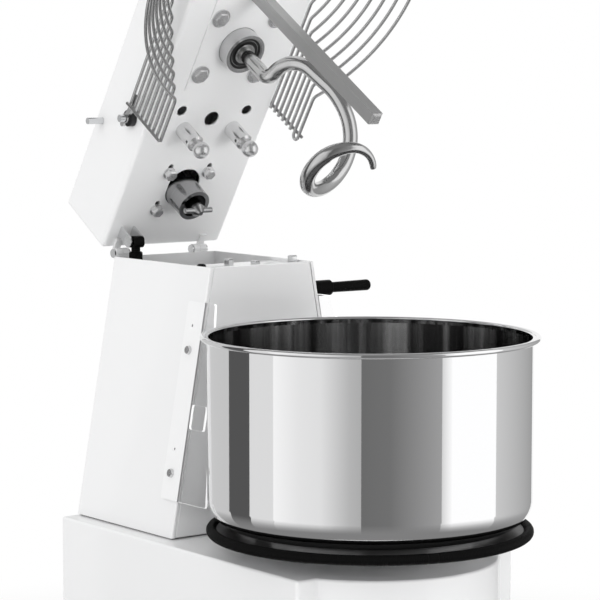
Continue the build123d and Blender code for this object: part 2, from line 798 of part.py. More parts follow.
with BuildPart(top_plane) as strut_rod:
    block(
        (strut_x - strut_end_width / 2, strut_x + strut_end_width / 2),
        (strut_back - strut_ear_radius - strut_slot_play, strut_back + strut_ear_radius + strut_slot_play),
        (strut_pin_open - strut_ear_radius, strut_pin_open + strut_ear_radius),
    )
    fillet(strut_rod.edges().filter_by(Axis.X), strut_ear_radius * 0.8)
    slot_half = strut_pin_radius + strut_slot_gap
    block(
        (strut_x - strut_end_width, strut_x + strut_end_width),
        (strut_back - slot_half - strut_slot_play, strut_back + slot_half + strut_slot_play),
        (strut_pin_open - slot_half, strut_pin_open + slot_half),
        mode=Mode.SUBTRACT,
    )
    rod_top = strut_pin_open - slot_half - 1
    post(strut_neck_radius, strut_sleeve_top, rod_top, strut_x, strut_back)
    post(strut_sleeve_radius, strut_sleeve_low, strut_sleeve_top, strut_x, strut_back)
    sleeve_edges = strut_rod.edges().filter_by(GeomType.CIRCLE)
    sleeve_rims = sleeve_edges.filter_by(lambda edge: edge.radius > strut_neck_radius + 1)
    chamfer(sleeve_rims, strut_sleeve_chamfer)
    post(strut_rod_radius, rod_top - strut_rod_length, strut_sleeve_low, strut_x, strut_back)
save(strut_rod, "strut_rod")

with BuildPart(top_plane) as strut_cylinder:
    post(strut_tube_radius, strut_tube_low, strut_tube_top, strut_x, strut_back)
    bore_low = strut_tube_low + strut_foot
    post(strut_rod_radius + shaft_gap, bore_low, strut_tube_top, strut_x, strut_back, mode=Mode.SUBTRACT)
    block(
        (strut_x - strut_tube_radius, strut_x + strut_tube_radius),
        (strut_back - strut_tube_radius, column_rear - sheet),
        (strut_tube_low - strut_foot, strut_tube_low),
    )
save(strut_cylinder, "strut_cylinder")

# Main shaft: carries the drive from the base up to the coupling hub at the column top
coupling_end = coupling_reach - head_underside
lug_top = hinge_level - coupling_end - hub_gap
hub_top = lug_top - lug_height
hub_low = hub_top - hub_floor
chain_z = (-chain_drop - chain_height / 2, -chain_drop + chain_height / 2)
sprocket_z = (-chain_drop - sprocket_thickness / 2, -chain_drop + sprocket_thickness / 2)
main_sprocket_radius = turntable_sprocket_radius / drive_ratio
belt_level = belt_lift - base_height
belt_z = (belt_level - belt_height / 2, belt_level + belt_height / 2)
pulley_z = (belt_z[0] - part_gap - pulley_flange, belt_z[1] + part_gap + pulley_flange)
motor_pulley_radius = main_pulley_radius / motor_ratio
upper_bearing_z = (column_height - bearing_plate_drop, column_height - bearing_plate_drop + bearing_width)
lower_bearing_z = (-bearing_width, 0)
bearing_plate_half = column_half(upper_bearing_z[0] + bearing_plate_thickness) - shell_width - part_gap


def pulley(radius, x, y):
    post(radius, *pulley_z, x, y)
    post(radius + pulley_rim, pulley_z[0], pulley_z[0] + pulley_flange, x, y)
    post(radius + pulley_rim, pulley_z[1] - pulley_flange, pulley_z[1], x, y)


def bearing(inner, low, x, y):
    outer = inner + bearing_wall - seat_gap
    high = low + bearing_width
    post(outer, low, high, x, y)
    for level in (low, high - 1):
        post(outer - bearing_lip, level, level + 1, x, y, mode=Mode.SUBTRACT)
        post(inner + bearing_lip, level, level + 1, x, y)
    post(inner + shaft_gap, low, high, x, y, mode=Mode.SUBTRACT)


def bearing_housing(outer, low, high, flange_low, x, y):
    post(outer + housing_wall, low, high, x, y)
    post(outer + housing_flange, flange_low, flange_low + housing_flange_thickness, x, y)
    post(outer, low, high, x, y, mode=Mode.SUBTRACT)


with BuildPart(top_plane) as main_shaft:
    post(main_shaft_radius, pulley_z[0], hub_low, y=shaft_back)
    post(main_sprocket_radius, *sprocket_z, y=shaft_back)
save(main_shaft, "main_shaft")

with BuildPart(top_plane) as drive_hub:
    post(hub_radius, hub_low, hub_top, y=shaft_back)
    with BuildSketch(top_plane.offset(hub_top)):
        for turn in (90, 270):
            with BuildLine():
                first = radians(turn - lug_half_angle)
                last = radians(turn + lug_half_angle)
                inner_first = (lug_inner * cos(first), shaft_back + lug_inner * sin(first))
                inner_last = (lug_inner * cos(last), shaft_back + lug_inner * sin(last))
                outer_first = (hub_radius * cos(first), shaft_back + hub_radius * sin(first))
                outer_last = (hub_radius * cos(last), shaft_back + hub_radius * sin(last))
                Line(inner_first, outer_first)
                RadiusArc(outer_first, outer_last, -hub_radius)
                Line(outer_last, inner_last)
                RadiusArc(inner_last, inner_first, lug_inner)
            make_face()
    extrude(amount=lug_height)
save(drive_hub, "drive_hub")

with BuildPart(top_plane) as main_pulley:
    pulley(main_pulley_radius, 0, shaft_back)
    post(main_shaft_radius + seat_gap, *pulley_z, y=shaft_back, mode=Mode.SUBTRACT)
    web_middle = (main_pulley_radius + main_shaft_radius) / 2
    for turn in range(0, 360, 72):
        web_x = web_middle * cos(radians(turn))
        web_y = shaft_back + web_middle * sin(radians(turn))
        post(main_shaft_radius, *pulley_z, web_x, web_y, mode=Mode.SUBTRACT)
save(main_pulley, "main_pulley")

with BuildPart(top_plane) as bearing_plate:
    block(
        (-bearing_plate_half, bearing_plate_half),
        (shaft_back - bearing_plate_length / 2, shaft_back + bearing_plate_length / 2),
        (upper_bearing_z[0], upper_bearing_z[0] + bearing_plate_thickness),
    )
    post(main_housing_radius, *upper_bearing_z, y=shaft_back)
    post(bearing_outer, *upper_bearing_z, y=shaft_back, mode=Mode.SUBTRACT)
save(bearing_plate, "bearing_plate")

with BuildPart(top_plane) as shaft_bearings:
    bearing(main_shaft_radius, upper_bearing_z[0], 0, shaft_back)
    bearing(main_shaft_radius, lower_bearing_z[0], 0, shaft_back)
    bearing(spindle_radius, -bearing_width - spindle_flange, 0, 0)
    bearing(spindle_radius, 0, 0, 0)
save(shaft_bearings, "shaft_bearings")

with BuildPart(top_plane) as bearing_housings:
    bearing_housing(bearing_outer, lower_bearing_z[0], housing_flange_thickness, 0, 0, shaft_back)
    bearing_housing(spindle_bearing_outer, -bearing_width - spindle_flange, bearing_width, 0, 0, 0)
save(bearing_housings, "bearing_housings")

# Turntable: spindle, sprocket, plate and its ribbed edge ring, and the bowl on top
with BuildPart(top_plane) as turntable_spindle:
    post(spindle_radius, sprocket_z[0] - 4, plate_gap)
    post(spindle_flange_radius, plate_gap - spindle_flange, plate_gap)
save(turntable_spindle, "turntable_spindle")

with BuildPart(top_plane) as turntable_sprocket:
    post(turntable_sprocket_radius, *sprocket_z)
    boss_z = (sprocket_z[0], sprocket_z[1] + 2 * sprocket_thickness)
    post(2 * spindle_radius, *boss_z)
    post(spindle_radius + seat_gap, *boss_z, mode=Mode.SUBTRACT)
    web_radius = (turntable_sprocket_radius + 2 * spindle_radius) / 2
    web_hole = (turntable_sprocket_radius - 2 * spindle_radius) / 2 - 2 * sprocket_thickness
    for turn in range(0, 360, 72):
        web_x = web_radius * cos(radians(turn))
        web_y = web_radius * sin(radians(turn))
        post(web_hole, *sprocket_z, web_x, web_y, mode=Mode.SUBTRACT)
save(turntable_sprocket, "turntable_sprocket")

with BuildPart(top_plane) as turntable_chain:
    with BuildSketch(top_plane.offset(chain_z[0])):
        near_gap = turntable_sprocket_radius + running_gap
        far_gap = main_sprocket_radius + running_gap
        loop_outline(near_gap + chain_thickness, far_gap + chain_thickness, shaft_back)
        loop_outline(near_gap, far_gap, shaft_back, mode=Mode.SUBTRACT)
    extrude(amount=chain_height)
save(turntable_chain, "turntable_chain")

with BuildPart(top_plane) as turntable_plate:
    post(plate_radius, plate_gap, plate_top)
    post(band_radius - band_wall - part_gap, plate_top, plate_top + spigot_height)
save(turntable_plate, "turntable_plate")

with BuildPart() as turntable_ring:
    with BuildSketch(upright(0)):
        ring_level = plate_gap + plate_thickness / 2
        ring_radius = plate_radius - ring_bite + ring_tube
        with Locations((ring_radius, ring_level)):
            Circle(ring_tube)
        with Locations((plate_radius / 2 + seat_gap, ring_level)):
            Rectangle(plate_radius, plate_thickness, mode=Mode.SUBTRACT)
    revolve(axis=bowl_axis)
save(turntable_ring, "turntable_ring")

with BuildPart() as mixing_bowl:
    with BuildSketch(upright(0)) as bowl_section:
        inner = bowl_radius - bowl_wall
        bead_centre = rim_radius - bead_radius
        lip = bowl_wall / 2
        with BuildLine():
            Polyline(
                (0, bowl_floor - bowl_wall),
                (bowl_radius, bowl_floor - bowl_wall),
                (bowl_radius, rim_level - lip),
                (bead_centre, rim_level - lip),
                (bead_centre, rim_level + lip),
                (inner, rim_level + lip),
                (inner, bowl_floor),
                (0, bowl_floor),
                close=True,
            )
        make_face()
        outer_corner = bowl_section.vertices().group_by(Axis.Y)[0].sort_by(Axis.X)[-1]
        fillet(outer_corner, bowl_corner + bowl_wall)
        corners = bowl_section.vertices()
        floor_corners = corners.filter_by_position(Axis.Y, bowl_floor - lip / 2, bowl_floor + lip / 2)
        fillet(floor_corners.sort_by(Axis.X)[-1], bowl_corner)
        with Locations((bead_centre, rim_level)):
            Circle(bead_radius)
        with Locations((band_radius - band_wall / 2, plate_top + (band_height + lip) / 2)):
            Rectangle(band_wall, band_height + lip)
    revolve(axis=bowl_axis)
save(mixing_bowl, "mixing_bowl")

# Motor and belt in the base, below the column
motor_low = pulley_z[1] + pulley_flange + motor_plate_thickness

with BuildPart(top_plane) as motor_plate:
    block(
        (sheet + part_gap - base_width / 2, base_width / 2 - sheet - part_gap),
        (motor_back - motor_plate_length / 2, motor_back + motor_plate_length / 2),
        (motor_low - motor_plate_thickness, motor_low),
    )
    plate_low = motor_low - motor_plate_thickness
    post(2 * motor_pulley_radius, plate_low, motor_low, y=motor_back, mode=Mode.SUBTRACT)
save(motor_plate, "motor_plate")

with BuildPart(top_plane) as motor_body:
    post(motor_radius - 6, motor_low, motor_low + motor_length, y=motor_back)
    with BuildSketch(top_plane.offset(motor_low + 14)):
        with Locations((0, motor_back)):
            with PolarLocations(motor_radius - 8, motor_fins):
                Rectangle(16, 3)
    extrude(amount=motor_length - 28)
    post(motor_radius, motor_low, motor_low + 12, y=motor_back)
    post(main_shaft_radius, motor_low, motor_low + motor_length, y=motor_back, mode=Mode.SUBTRACT)
save(motor_body, "motor_body")

with BuildPart(top_plane) as motor_pulley:
    pulley(motor_pulley_radius, 0, motor_back)
    post(main_shaft_radius - 2, pulley_z[0], motor_low + motor_length, y=motor_back)
save(motor_pulley, "motor_pulley")

with BuildPart(top_plane) as drive_belt:
    with BuildSketch(Plane((0, bowl_y + motor_back, base_top + belt_z[0]))):
        near_gap = motor_pulley_radius + running_gap
        far_gap = main_pulley_radius + running_gap
        loop_outline(near_gap + belt_thickness, far_gap + belt_thickness, motor_ahead)
        loop_outline(near_gap, far_gap, motor_ahead, mode=Mode.SUBTRACT)
    extrude(amount=belt_height)
save(drive_belt, "drive_belt")

# Head: a folded box with a top cover, hanging from the hinge
under = -head_underside
head_mid = (head_rear + head_front) / 2
head_length = head_front - head_rear
coupling_bolt_spots = [
    (side * coupling_bolt_spread[0], coupling_l + end * coupling_bolt_spread[1])
    for side in (-1, 1)
    for end in (-1, 1)
]
spiral_bolt_spots = [
    (spiral_side + side * spiral_bolt_spread[0], spiral_l + end * spiral_bolt_spread[1])
    for side in (-1, 1)
    for end in (-1, 1)
]
spare_holes = [
    (lock_shift - spare_hole_spread, spare_hole_ahead, spare_hole_radius),
    (lock_shift + spare_hole_spread, spare_hole_ahead, spare_hole_radius),
    (lock_shift, middle_hole_ahead, middle_hole_radius),
]
bolt_shank = bolt_across / 4
big_bolt_shank = big_bolt_across / 3
coupling_hole = coupling_radius + coupling_hole_gap
bar_half = bar_side / 2 + part_gap
bar_slot = ((-bar_half, bar_half), (bar_l - bar_half, bar_l + bar_half))


def along_depth(edge):
    return abs(edge.tangent_at(0).dot(Vector(*down_direction))) > 0.9


with BuildPart(head_plane) as head_shell:
    block((-head_half, head_half), (head_rear, head_front), (cover_thickness - head_top, under))
    fillet(head_shell.edges().filter_by(along_depth), head_bend)
    bottom_face = head_shell.faces().sort_by(Axis((0, 0, 0), down_direction))[-1]
    fillet(bottom_face.edges(), head_bend)
    block(
        (sheet - head_half, head_half - sheet),
        (head_rear + sheet, head_front - sheet),
        (cover_thickness - head_top, under - sheet),
        mode=Mode.SUBTRACT,
    )
    for shift in (0, coupling_slot):
        post(coupling_hole, under - 2 * sheet, under, 0, coupling_l + shift, mode=Mode.SUBTRACT)
    block(
        (-coupling_hole, coupling_hole),
        (coupling_l, coupling_l + coupling_slot),
        (under - 2 * sheet, under),
        mode=Mode.SUBTRACT,
    )
    post(
        spiral_housing_radius + part_gap,
        under - 2 * sheet,
        under,
        spiral_side,
        spiral_l,
        mode=Mode.SUBTRACT,
    )
    for x, y in coupling_bolt_spots:
        for shift in (0, coupling_slot):
            post(bolt_shank + part_gap, under - 2 * sheet, under, x, y + shift, mode=Mode.SUBTRACT)
        half = bolt_shank + part_gap
        block((x - half, x + half), (y, y + coupling_slot), (under - 2 * sheet, under), mode=Mode.SUBTRACT)
    for x, y in spiral_bolt_spots:
        post(big_bolt_shank + part_gap, under - 2 * sheet, under, x, y, mode=Mode.SUBTRACT)
    block(*bar_slot, (under - 2 * sheet, under), mode=Mode.SUBTRACT)
    for x in stud_spots:
        post(stud_neck_radius + seat_gap, under - 2 * sheet, under, x, stud_l, mode=Mode.SUBTRACT)
    for x, along, radius in spare_holes:
        post(radius, under - 2 * sheet, under, x, stud_l + along, mode=Mode.SUBTRACT)
    for side in (-1, 1):
        rod_x(
            pivot_radius + seat_gap,
            *sorted((side * (head_half - 2 * sheet), side * head_half)),
            guard_pivot[0],
            -guard_pivot[1],
            mode=Mode.SUBTRACT,
        )
    rod_x(
        stop_radius + seat_gap,
        -head_half,
        sheet - head_half,
        guard_pivot[0] + stop_offset[0],
        stop_offset[1] - guard_pivot[1],
        mode=Mode.SUBTRACT,
    )
save(head_shell, "head_shell")

with BuildPart(head_plane) as head_top_cover:
    block((-head_half, head_half), (head_rear, head_front), (-head_top, cover_thickness - head_top))
    fillet(head_top_cover.edges().filter_by(along_depth), head_bend)
    lip_z = (cover_thickness - head_top, cover_thickness - head_top + cover_lip)
    for lip_inset, lip_mode in ((sheet + part_gap, Mode.ADD), (2 * sheet + part_gap, Mode.SUBTRACT)):
        block(
            (lip_inset - head_half, head_half - lip_inset),
            (head_rear + lip_inset, head_front - lip_inset),
            lip_z,
            mode=lip_mode,
        )
save(head_top_cover, "head_top_cover")

with BuildPart(head_plane) as underside_plate:
    plate_half = under_plate_width / 2
    block(
        (spiral_side - plate_half, spiral_side + plate_half),
        (spiral_l - under_plate_start, head_front - under_plate_margin),
        (under, under + under_plate),
    )
    post(
        spiral_housing_radius + part_gap,
        under,
        under + under_plate,
        spiral_side,
        spiral_l,
        mode=Mode.SUBTRACT,
    )
    for x, y in spiral_bolt_spots:
        post(big_bolt_shank + part_gap, under, under + under_plate, x, y, mode=Mode.SUBTRACT)
    block(*bar_slot, (under, under + under_plate), mode=Mode.SUBTRACT)
save(underside_plate, "underside_plate")

# Coupling that meets the hub when the head comes down
inside_floor = under - sheet

with BuildPart(head_plane) as coupling_housing:
    flange_half = coupling_flange[0] / 2
    block(
        (-flange_half, flange_half),
        (coupling_l - coupling_flange[1] / 2, coupling_l + coupling_flange[1] / 2),
        (inside_floor - housing_flange_thickness, inside_floor),
    )
    post(
        coupling_hole,
        inside_floor - housing_flange_thickness,
        inside_floor,
        0,
        coupling_l + coupling_slot,
        mode=Mode.SUBTRACT,
    )
    post(coupling_radius, inside_floor - coupling_depth, under, 0, coupling_l)
    taper(coupling_radius, coupling_end_radius, under, coupling_end, 0, coupling_l)
    bore_low = inside_floor - coupling_depth
    socket_low = coupling_end - coupling_socket
    post(coupling_shaft_radius + shaft_gap, bore_low, coupling_end, 0, coupling_l, mode=Mode.SUBTRACT)
    post(coupling_socket_radius, socket_low, coupling_end, 0, coupling_l, mode=Mode.SUBTRACT)
    for x, y in coupling_bolt_spots:
        post(
            bolt_shank + seat_gap,
            inside_floor - housing_flange_thickness,
            inside_floor,
            x,
            y,
            mode=Mode.SUBTRACT,
        )
save(coupling_housing, "coupling_housing")

head_sprocket_z = (under - head_chain_depth, under - head_chain_depth + sprocket_thickness)
coupling_pin_level = coupling_end + coupling_pin_drop

with BuildPart(head_plane) as coupling_shaft:
    post(coupling_shaft_radius, head_sprocket_z[0], coupling_pin_level, 0, coupling_l)
    taper(coupling_shaft_radius, 3, coupling_pin_level, coupling_end + coupling_tip, 0, coupling_l)
    post(head_sprocket_radius, *head_sprocket_z, 0, coupling_l)
    rod_x(coupling_pin_radius, -coupling_pin_reach, coupling_pin_reach, coupling_l, coupling_pin_level)
save(coupling_shaft, "coupling_shaft")

with BuildPart(head_plane) as head_chain:
    chain_low = (head_sprocket_z[0] + head_sprocket_z[1] - chain_height) / 2
    chain_origin = head_plane.from_local_coords((0, coupling_l, chain_low))
    chain_along = spiral_l - coupling_l
    chain_across = head_plane.x_dir * chain_along - head_plane.y_dir * spiral_side
    chain_span = sqrt(chain_along**2 + spiral_side**2)
    with BuildSketch(Plane(chain_origin, x_dir=chain_across, z_dir=down_direction)):
        chain_gap = head_sprocket_radius + running_gap
        loop_outline(chain_gap + chain_thickness, chain_gap + chain_thickness, chain_span)
        loop_outline(chain_gap, chain_gap, chain_span, mode=Mode.SUBTRACT)
    extrude(amount=chain_height)
save(head_chain, "head_chain")

# Spiral: bearing housing, shaft and the bent rod that kneads
spiral_housing_end = under + spiral_housing_reach
spiral_bearing_low = spiral_housing_end - spiral_bearing_width - 1

with BuildPart(head_plane) as spiral_housing:
    flange_half = spiral_flange / 2
    block(
        (spiral_side - flange_half, spiral_side + flange_half),
        (spiral_l - flange_half, spiral_l + flange_half),
        (inside_floor - housing_flange_thickness, inside_floor),
    )
    housing_low = inside_floor - spiral_housing_depth
    post(spiral_housing_radius, housing_low, spiral_housing_end, spiral_side, spiral_l)
    post(
        spiral_bearing_radius,
        spiral_bearing_low,
        spiral_housing_end,
        spiral_side,
        spiral_l,
        mode=Mode.SUBTRACT,
    )
    post(
        spiral_shaft_radius + shaft_gap,
        housing_low,
        spiral_housing_end,
        spiral_side,
        spiral_l,
        mode=Mode.SUBTRACT,
    )
    for x, y in spiral_bolt_spots:
        post(
            big_bolt_shank + seat_gap,
            inside_floor - housing_flange_thickness,
            inside_floor,
            x,
            y,
            mode=Mode.SUBTRACT,
        )
save(spiral_housing, "spiral_housing")

with BuildPart(head_plane) as spiral_bearing:
    high = spiral_bearing_low + spiral_bearing_width
    post(spiral_bearing_radius - seat_gap, spiral_bearing_low, high, spiral_side, spiral_l)
    post(spiral_bearing_radius - bearing_lip, high - 1, high, spiral_side, spiral_l, mode=Mode.SUBTRACT)
    post(spiral_shaft_radius + bearing_lip, high - 1, high, spiral_side, spiral_l)
    bore = spiral_shaft_radius + shaft_gap
    post(bore, spiral_bearing_low, high, spiral_side, spiral_l, mode=Mode.SUBTRACT)
save(spiral_bearing, "spiral_bearing")

with BuildPart(head_plane) as spiral_shaft:
    post(spiral_shaft_radius, head_sprocket_z[0], spiral_housing_end, spiral_side, spiral_l)
    post(head_sprocket_radius, *head_sprocket_z, spiral_side, spiral_l)
save(spiral_shaft, "spiral_shaft")

bowl_floor_n = hinge_level - bowl_floor
spiral_end = bowl_floor_n - spiral_floor_gap - spiral_rod
spiral_reach = bowl_radius - bowl_wall - spiral_back - spiral_rod - spiral_wall_gap
spiral_arm = spiral_reach - spiral_arm_gap


def spiral_place(radius, angle, drop):
    x = spiral_side + radius * cos(angle)
    return head_plane.from_local_coords((x, spiral_l + radius * sin(angle), drop))


def spiral_point(share):
    angle = radians(spiral_start_angle - spiral_sweep * share)
    drop = spiral_start + (spiral_end - spiral_start) * share ** (1 / spiral_growth)
    shrink = max(0, share - 0.6) / 0.4
    radius = spiral_reach - (spiral_reach - spiral_tip_radius) * shrink**1.5
    return spiral_place(radius, angle, drop)


def bend_radii(points):
    radii = []
    for before, here, after in zip(points, points[1:], points[2:]):
        turn = radians((here - before).get_angle(after - here))
        shorter = min((here - before).length, (after - here).length)
        radii.append(0.45 * shorter / tan(turn / 2))
    crest_turn = radians((points[2] - points[1]).get_angle(points[3] - points[2]))
    crest = 0.95 * (spiral_arm - spiral_bend) / tan(crest_turn / 2)
    return [spiral_bend, crest, *radii[2:]]


spiral_points = [
    spiral_place(0, 0, spiral_housing_end),
    spiral_place(0, 0, spiral_crank),
    spiral_place(spiral_arm, radians(spiral_arm_angle), spiral_crank),
    *[spiral_point((step / spiral_steps) ** spiral_spacing) for step in range(1, spiral_steps + 1)],
]

with BuildLine() as spiral_path:
    FilletPolyline(*spiral_points, radius=bend_radii(spiral_points))
rod_line = spiral_path.wires()[0]
taper_start = 1 - spiral_tip_share

with BuildPart() as spiral_tool:
    with BuildSketch(Plane(rod_line @ 0, z_dir=rod_line % 0)):
        Circle(spiral_rod)
    sweep(path=rod_line.trim(0, taper_start))

with BuildPart() as spiral_tip:
    for step in range(spiral_tip_steps + 1):
        done = step / spiral_tip_steps
        share = taper_start + spiral_tip_share * done
        with BuildSketch(Plane(rod_line @ share, z_dir=rod_line % share)):
            Circle(spiral_rod + (spiral_tip_rod - spiral_rod) * done)
    loft()
save(spiral_tool, "spiral_tool", spiral_tip)

# Breaker bar that keeps the dough turning
bar_end = bowl_floor_n - bar_floor_gap

with BuildPart(head_plane) as breaker_bar:
    half = bar_side / 2
    block((-half, half), (bar_l - half, bar_l + half), (under - bar_depth, bar_end))
    chamfer(breaker_bar.faces().sort_by(Axis((0, 0, 0), down_direction))[-1].edges(), bar_chamfer)
    clamp_half = bar_clamp / 2
    block(
        (-clamp_half, clamp_half),
        (bar_l - clamp_half, bar_l + clamp_half),
        (under - bar_depth, inside_floor),
    )
save(breaker_bar, "breaker_bar")

# Bolts on the underside, one set for the coupling and a larger one for the spiral housing
with BuildPart(head_plane) as head_bolts:
    for x, y in coupling_bolt_spots:
        post(bolt_across / 2 + 1.5, under, under + 1.5, x, y)
        with BuildSketch(head_plane.offset(under + 1.5)):
            with Locations((x, y)):
                RegularPolygon(bolt_across / 2, 6, major_radius=False)
        extrude(amount=bolt_head)
        post(bolt_shank, inside_floor - housing_flange_thickness - 6, under, x, y)
    for x, y in spiral_bolt_spots:
        rim_low = under + under_plate + big_bolt_rim
        post(big_bolt_flange, under + under_plate, rim_low, x, y)
        with BuildSketch(head_plane.offset(rim_low)):
            with Locations((x, y)):
                RegularPolygon(big_bolt_across / 2, 6, major_radius=False)
        extrude(amount=big_bolt_head)
        post(big_bolt_shank, inside_floor - housing_flange_thickness - 6, under + under_plate, x, y)
    hex_faces = head_bolts.faces().filter_by(lambda f: len(f.edges()) == 6 and f.normal_at().Z < -0.3)
    chamfer(hex_faces.edges(), bolt_chamfer)
save(head_bolts, "head_bolts")

# Lock studs with a neck that the lock bar grips
stud_neck_low = under + stud_length
stud_head_low = stud_neck_low + stud_neck

with BuildPart(head_plane) as lock_studs:
    for x in stud_spots:
        with Locations((x, stud_l, stud_head_low + stud_head - stud_head_radius)):
            Sphere(stud_head_radius)
        post(stud_head_radius, stud_neck_low, stud_head_low, x, stud_l, mode=Mode.SUBTRACT)
        post(stud_neck_radius, inside_floor - 8, stud_head_low + stud_head / 2, x, stud_l)
        shoulder_low = stud_neck_low - stud_shoulder
        post(stud_radius, under, shoulder_low, x, stud_l)
        taper(stud_radius, stud_radius - stud_shoulder, shoulder_low, stud_neck_low, x, stud_l)
        rod_x(2, x - stud_radius, x + stud_radius, stud_l, stud_neck_low - 7, mode=Mode.SUBTRACT)
save(lock_studs, "lock_studs")

# Wire guard: wires that run beside the head and sweep round the bowl opening
pivot_l = guard_pivot[0]
pivot_n = -guard_pivot[1]
guard_l = hinge_back + guard_ahead
guard_radius = rim_radius - wire_radius - guard_inset
guard_step = (guard_radius - guard_side - guard_narrow) / (wire_count - 1)
wire_levels = [guard_low - k * wire_pitch for k in range(wire_count)]
wire_radii = [guard_radius - k * guard_step for k in range(wire_count)]
side_angle = 90
rib_angle = 135
front_angle = 180


def guard_point(radius, angle, side):
    return (side * radius * sin(radians(angle)), guard_l - radius * cos(radians(angle)))


def draw_wire(path):
    with BuildSketch(Plane(path.line @ 0, z_dir=path.line % 0)) as wire_section:
        Circle(wire_radius)
    sweep(wire_section.sketch, path=path.line)


def leg_back(radius):
    return sqrt((radius + guard_bend) ** 2 - (guard_side + guard_bend) ** 2)


def guard_wire_leg(side, radius, level):
    with BuildLine(head_plane.offset(level)) as path:
        Line((side * guard_side, guard_rear), (side * guard_side, guard_l - leg_back(radius)))
    draw_wire(path)


def guard_wire_bend(side, radius, level):
    across = guard_side + guard_bend
    back = leg_back(radius)
    share = radius / (radius + guard_bend)
    bend_end = (side * across * share, guard_l - back * share)
    start_angle = degrees(atan2(across, back))
    lean_in = radians(90 - start_angle) / 2
    bend_mid = (
        side * (across - guard_bend * cos(lean_in)),
        guard_l - back + guard_bend * sin(lean_in),
    )
    with BuildLine(head_plane.offset(level)) as path:
        ThreePointArc((side * guard_side, guard_l - back), bend_mid, bend_end)
        ThreePointArc(
            bend_end,
            guard_point(radius, (start_angle + side_angle) / 2, side),
            guard_point(radius, side_angle, side),
        )
    draw_wire(path)


def guard_wire_arc(side, radius, level, first, last):
    with BuildLine(head_plane.offset(level)) as path:
        ThreePointArc(
            guard_point(radius, first, side),
            guard_point(radius, (first + last) / 2, side),
            guard_point(radius, last, side),
        )
    draw_wire(path)


with BuildPart() as guard_wires_left:
    for radius, level in zip(wire_radii, wire_levels):
        guard_wire_leg(-1, radius, level)
        guard_wire_arc(-1, radius, level, side_angle, rib_angle)
        guard_wire_arc(1, radius, level, rib_angle, front_angle)
save(guard_wires_left, "guard_wires_left")

with BuildPart() as guard_wires_right:
    for radius, level in zip(wire_radii, wire_levels):
        guard_wire_leg(1, radius, level)
        guard_wire_arc(1, radius, level, side_angle, rib_angle)
        guard_wire_arc(-1, radius, level, rib_angle, front_angle)
save(guard_wires_right, "guard_wires_right")

with BuildPart() as guard_wires_bends:
    for side in (-1, 1):
        for radius, level in zip(wire_radii, wire_levels):
            guard_wire_bend(side, radius, level)
save(guard_wires_bends, "guard_wires_bends")

arm_face = guard_side - wire_radius - weld
cross_x = guard_side + 2 * wire_radius + weld
slope_length = sqrt(guard_step**2 + wire_pitch**2)
rib_lift = 2 * wire_radius + weld
rib_shift = (rib_lift * wire_pitch / slope_length, -rib_lift * guard_step / slope_length)
arm_angle = degrees(atan2(wire_levels[-1] - pivot_n, guard_rear - pivot_l))


def arm_slot(angle, length):
    with Locations((pivot_l, pivot_n)):
        with Locations(Location((0, 0, 0), angle)):
            with Locations((length / 2, 0)):
                SlotCenterToCenter(length, 2 * arm_half_width)


with BuildPart() as guard_frame:
    for side in (-1, 1):
        cross_start = (side * cross_x, guard_rear + wire_radius, wire_levels[-1] - wire_radius)
        with BuildSketch(Plane(head_plane.from_local_coords(cross_start), z_dir=down_direction)):
            Circle(wire_radius)
        extrude(amount=wire_levels[0] - wire_levels[-1] + 2 * wire_radius)
        face = side * arm_face if side < 0 else arm_face - arm_thickness
        with BuildSketch(head_side.offset(face)):
            arm_slot(arm_angle, arm_reach)
            arm_slot(arm_angle + 180, arm_tail)
            with Locations((pivot_l, pivot_n)):
                Circle(arm_eye_radius)
                Circle(pivot_radius + pivot_gap, mode=Mode.SUBTRACT)
        extrude(amount=arm_thickness)
    for side, angle in ((-1, rib_angle), (0, front_angle), (1, rib_angle)):
        ends = []
        for radius, level in ((wire_radii[0], wire_levels[0]), (wire_radii[-1], wire_levels[-1])):
            x, y = guard_point(radius + rib_shift[0], angle, side)
            ends.append(head_plane.from_local_coords((x, y, level + rib_shift[1])))
        with BuildSketch(Plane(ends[0], z_dir=ends[1] - ends[0])):
            Circle(wire_radius)
        extrude(amount=(ends[1] - ends[0]).length)
    loop_top = head_plane.from_local_coords((guard_side, guard_rear, wire_levels[1]))
    loop_low = head_plane.from_local_coords((guard_side, guard_rear, wire_levels[0]))
    loop_mid = head_plane.from_local_coords(
        (guard_side, guard_rear - wire_pitch / 2, (wire_levels[0] + wire_levels[1]) / 2)
    )
    with BuildLine() as loop_path:
        ThreePointArc(loop_top, loop_mid, loop_low)
    draw_wire(loop_path)
save(guard_frame, "guard_frame")

with BuildPart(head_plane) as guard_pivots:
    for side in (-1, 1):
        arm_inner = arm_face - arm_thickness
        cap_start = arm_face + running_gap
        pin_span = sorted((side * (head_half - 2 * sheet), side * cap_start))
        bush_span = sorted((side * head_half, side * (arm_inner - running_gap)))
        cap_span = sorted((side * cap_start, side * (cap_start + pivot_cap)))
        rod_x(pivot_radius, *pin_span, pivot_l, pivot_n)
        rod_x(bush_radius, *bush_span, pivot_l, pivot_n)
        rod_x(pivot_cap_radius, *cap_span, pivot_l, pivot_n)
    rod_x(
        stop_radius,
        -head_half - stop_reach,
        sheet - head_half,
        pivot_l + stop_offset[0],
        pivot_n + stop_offset[1],
    )
save(guard_pivots, "guard_pivots")

# Controls on the right side of the column
panel_plane = side_face(1)
panel_y = column_front + panel_behind
panel_h = up_slope(panel_level)
button_spots = {"start_button": panel_h + button_spacing / 2, "stop_button": panel_h - button_spacing / 2}

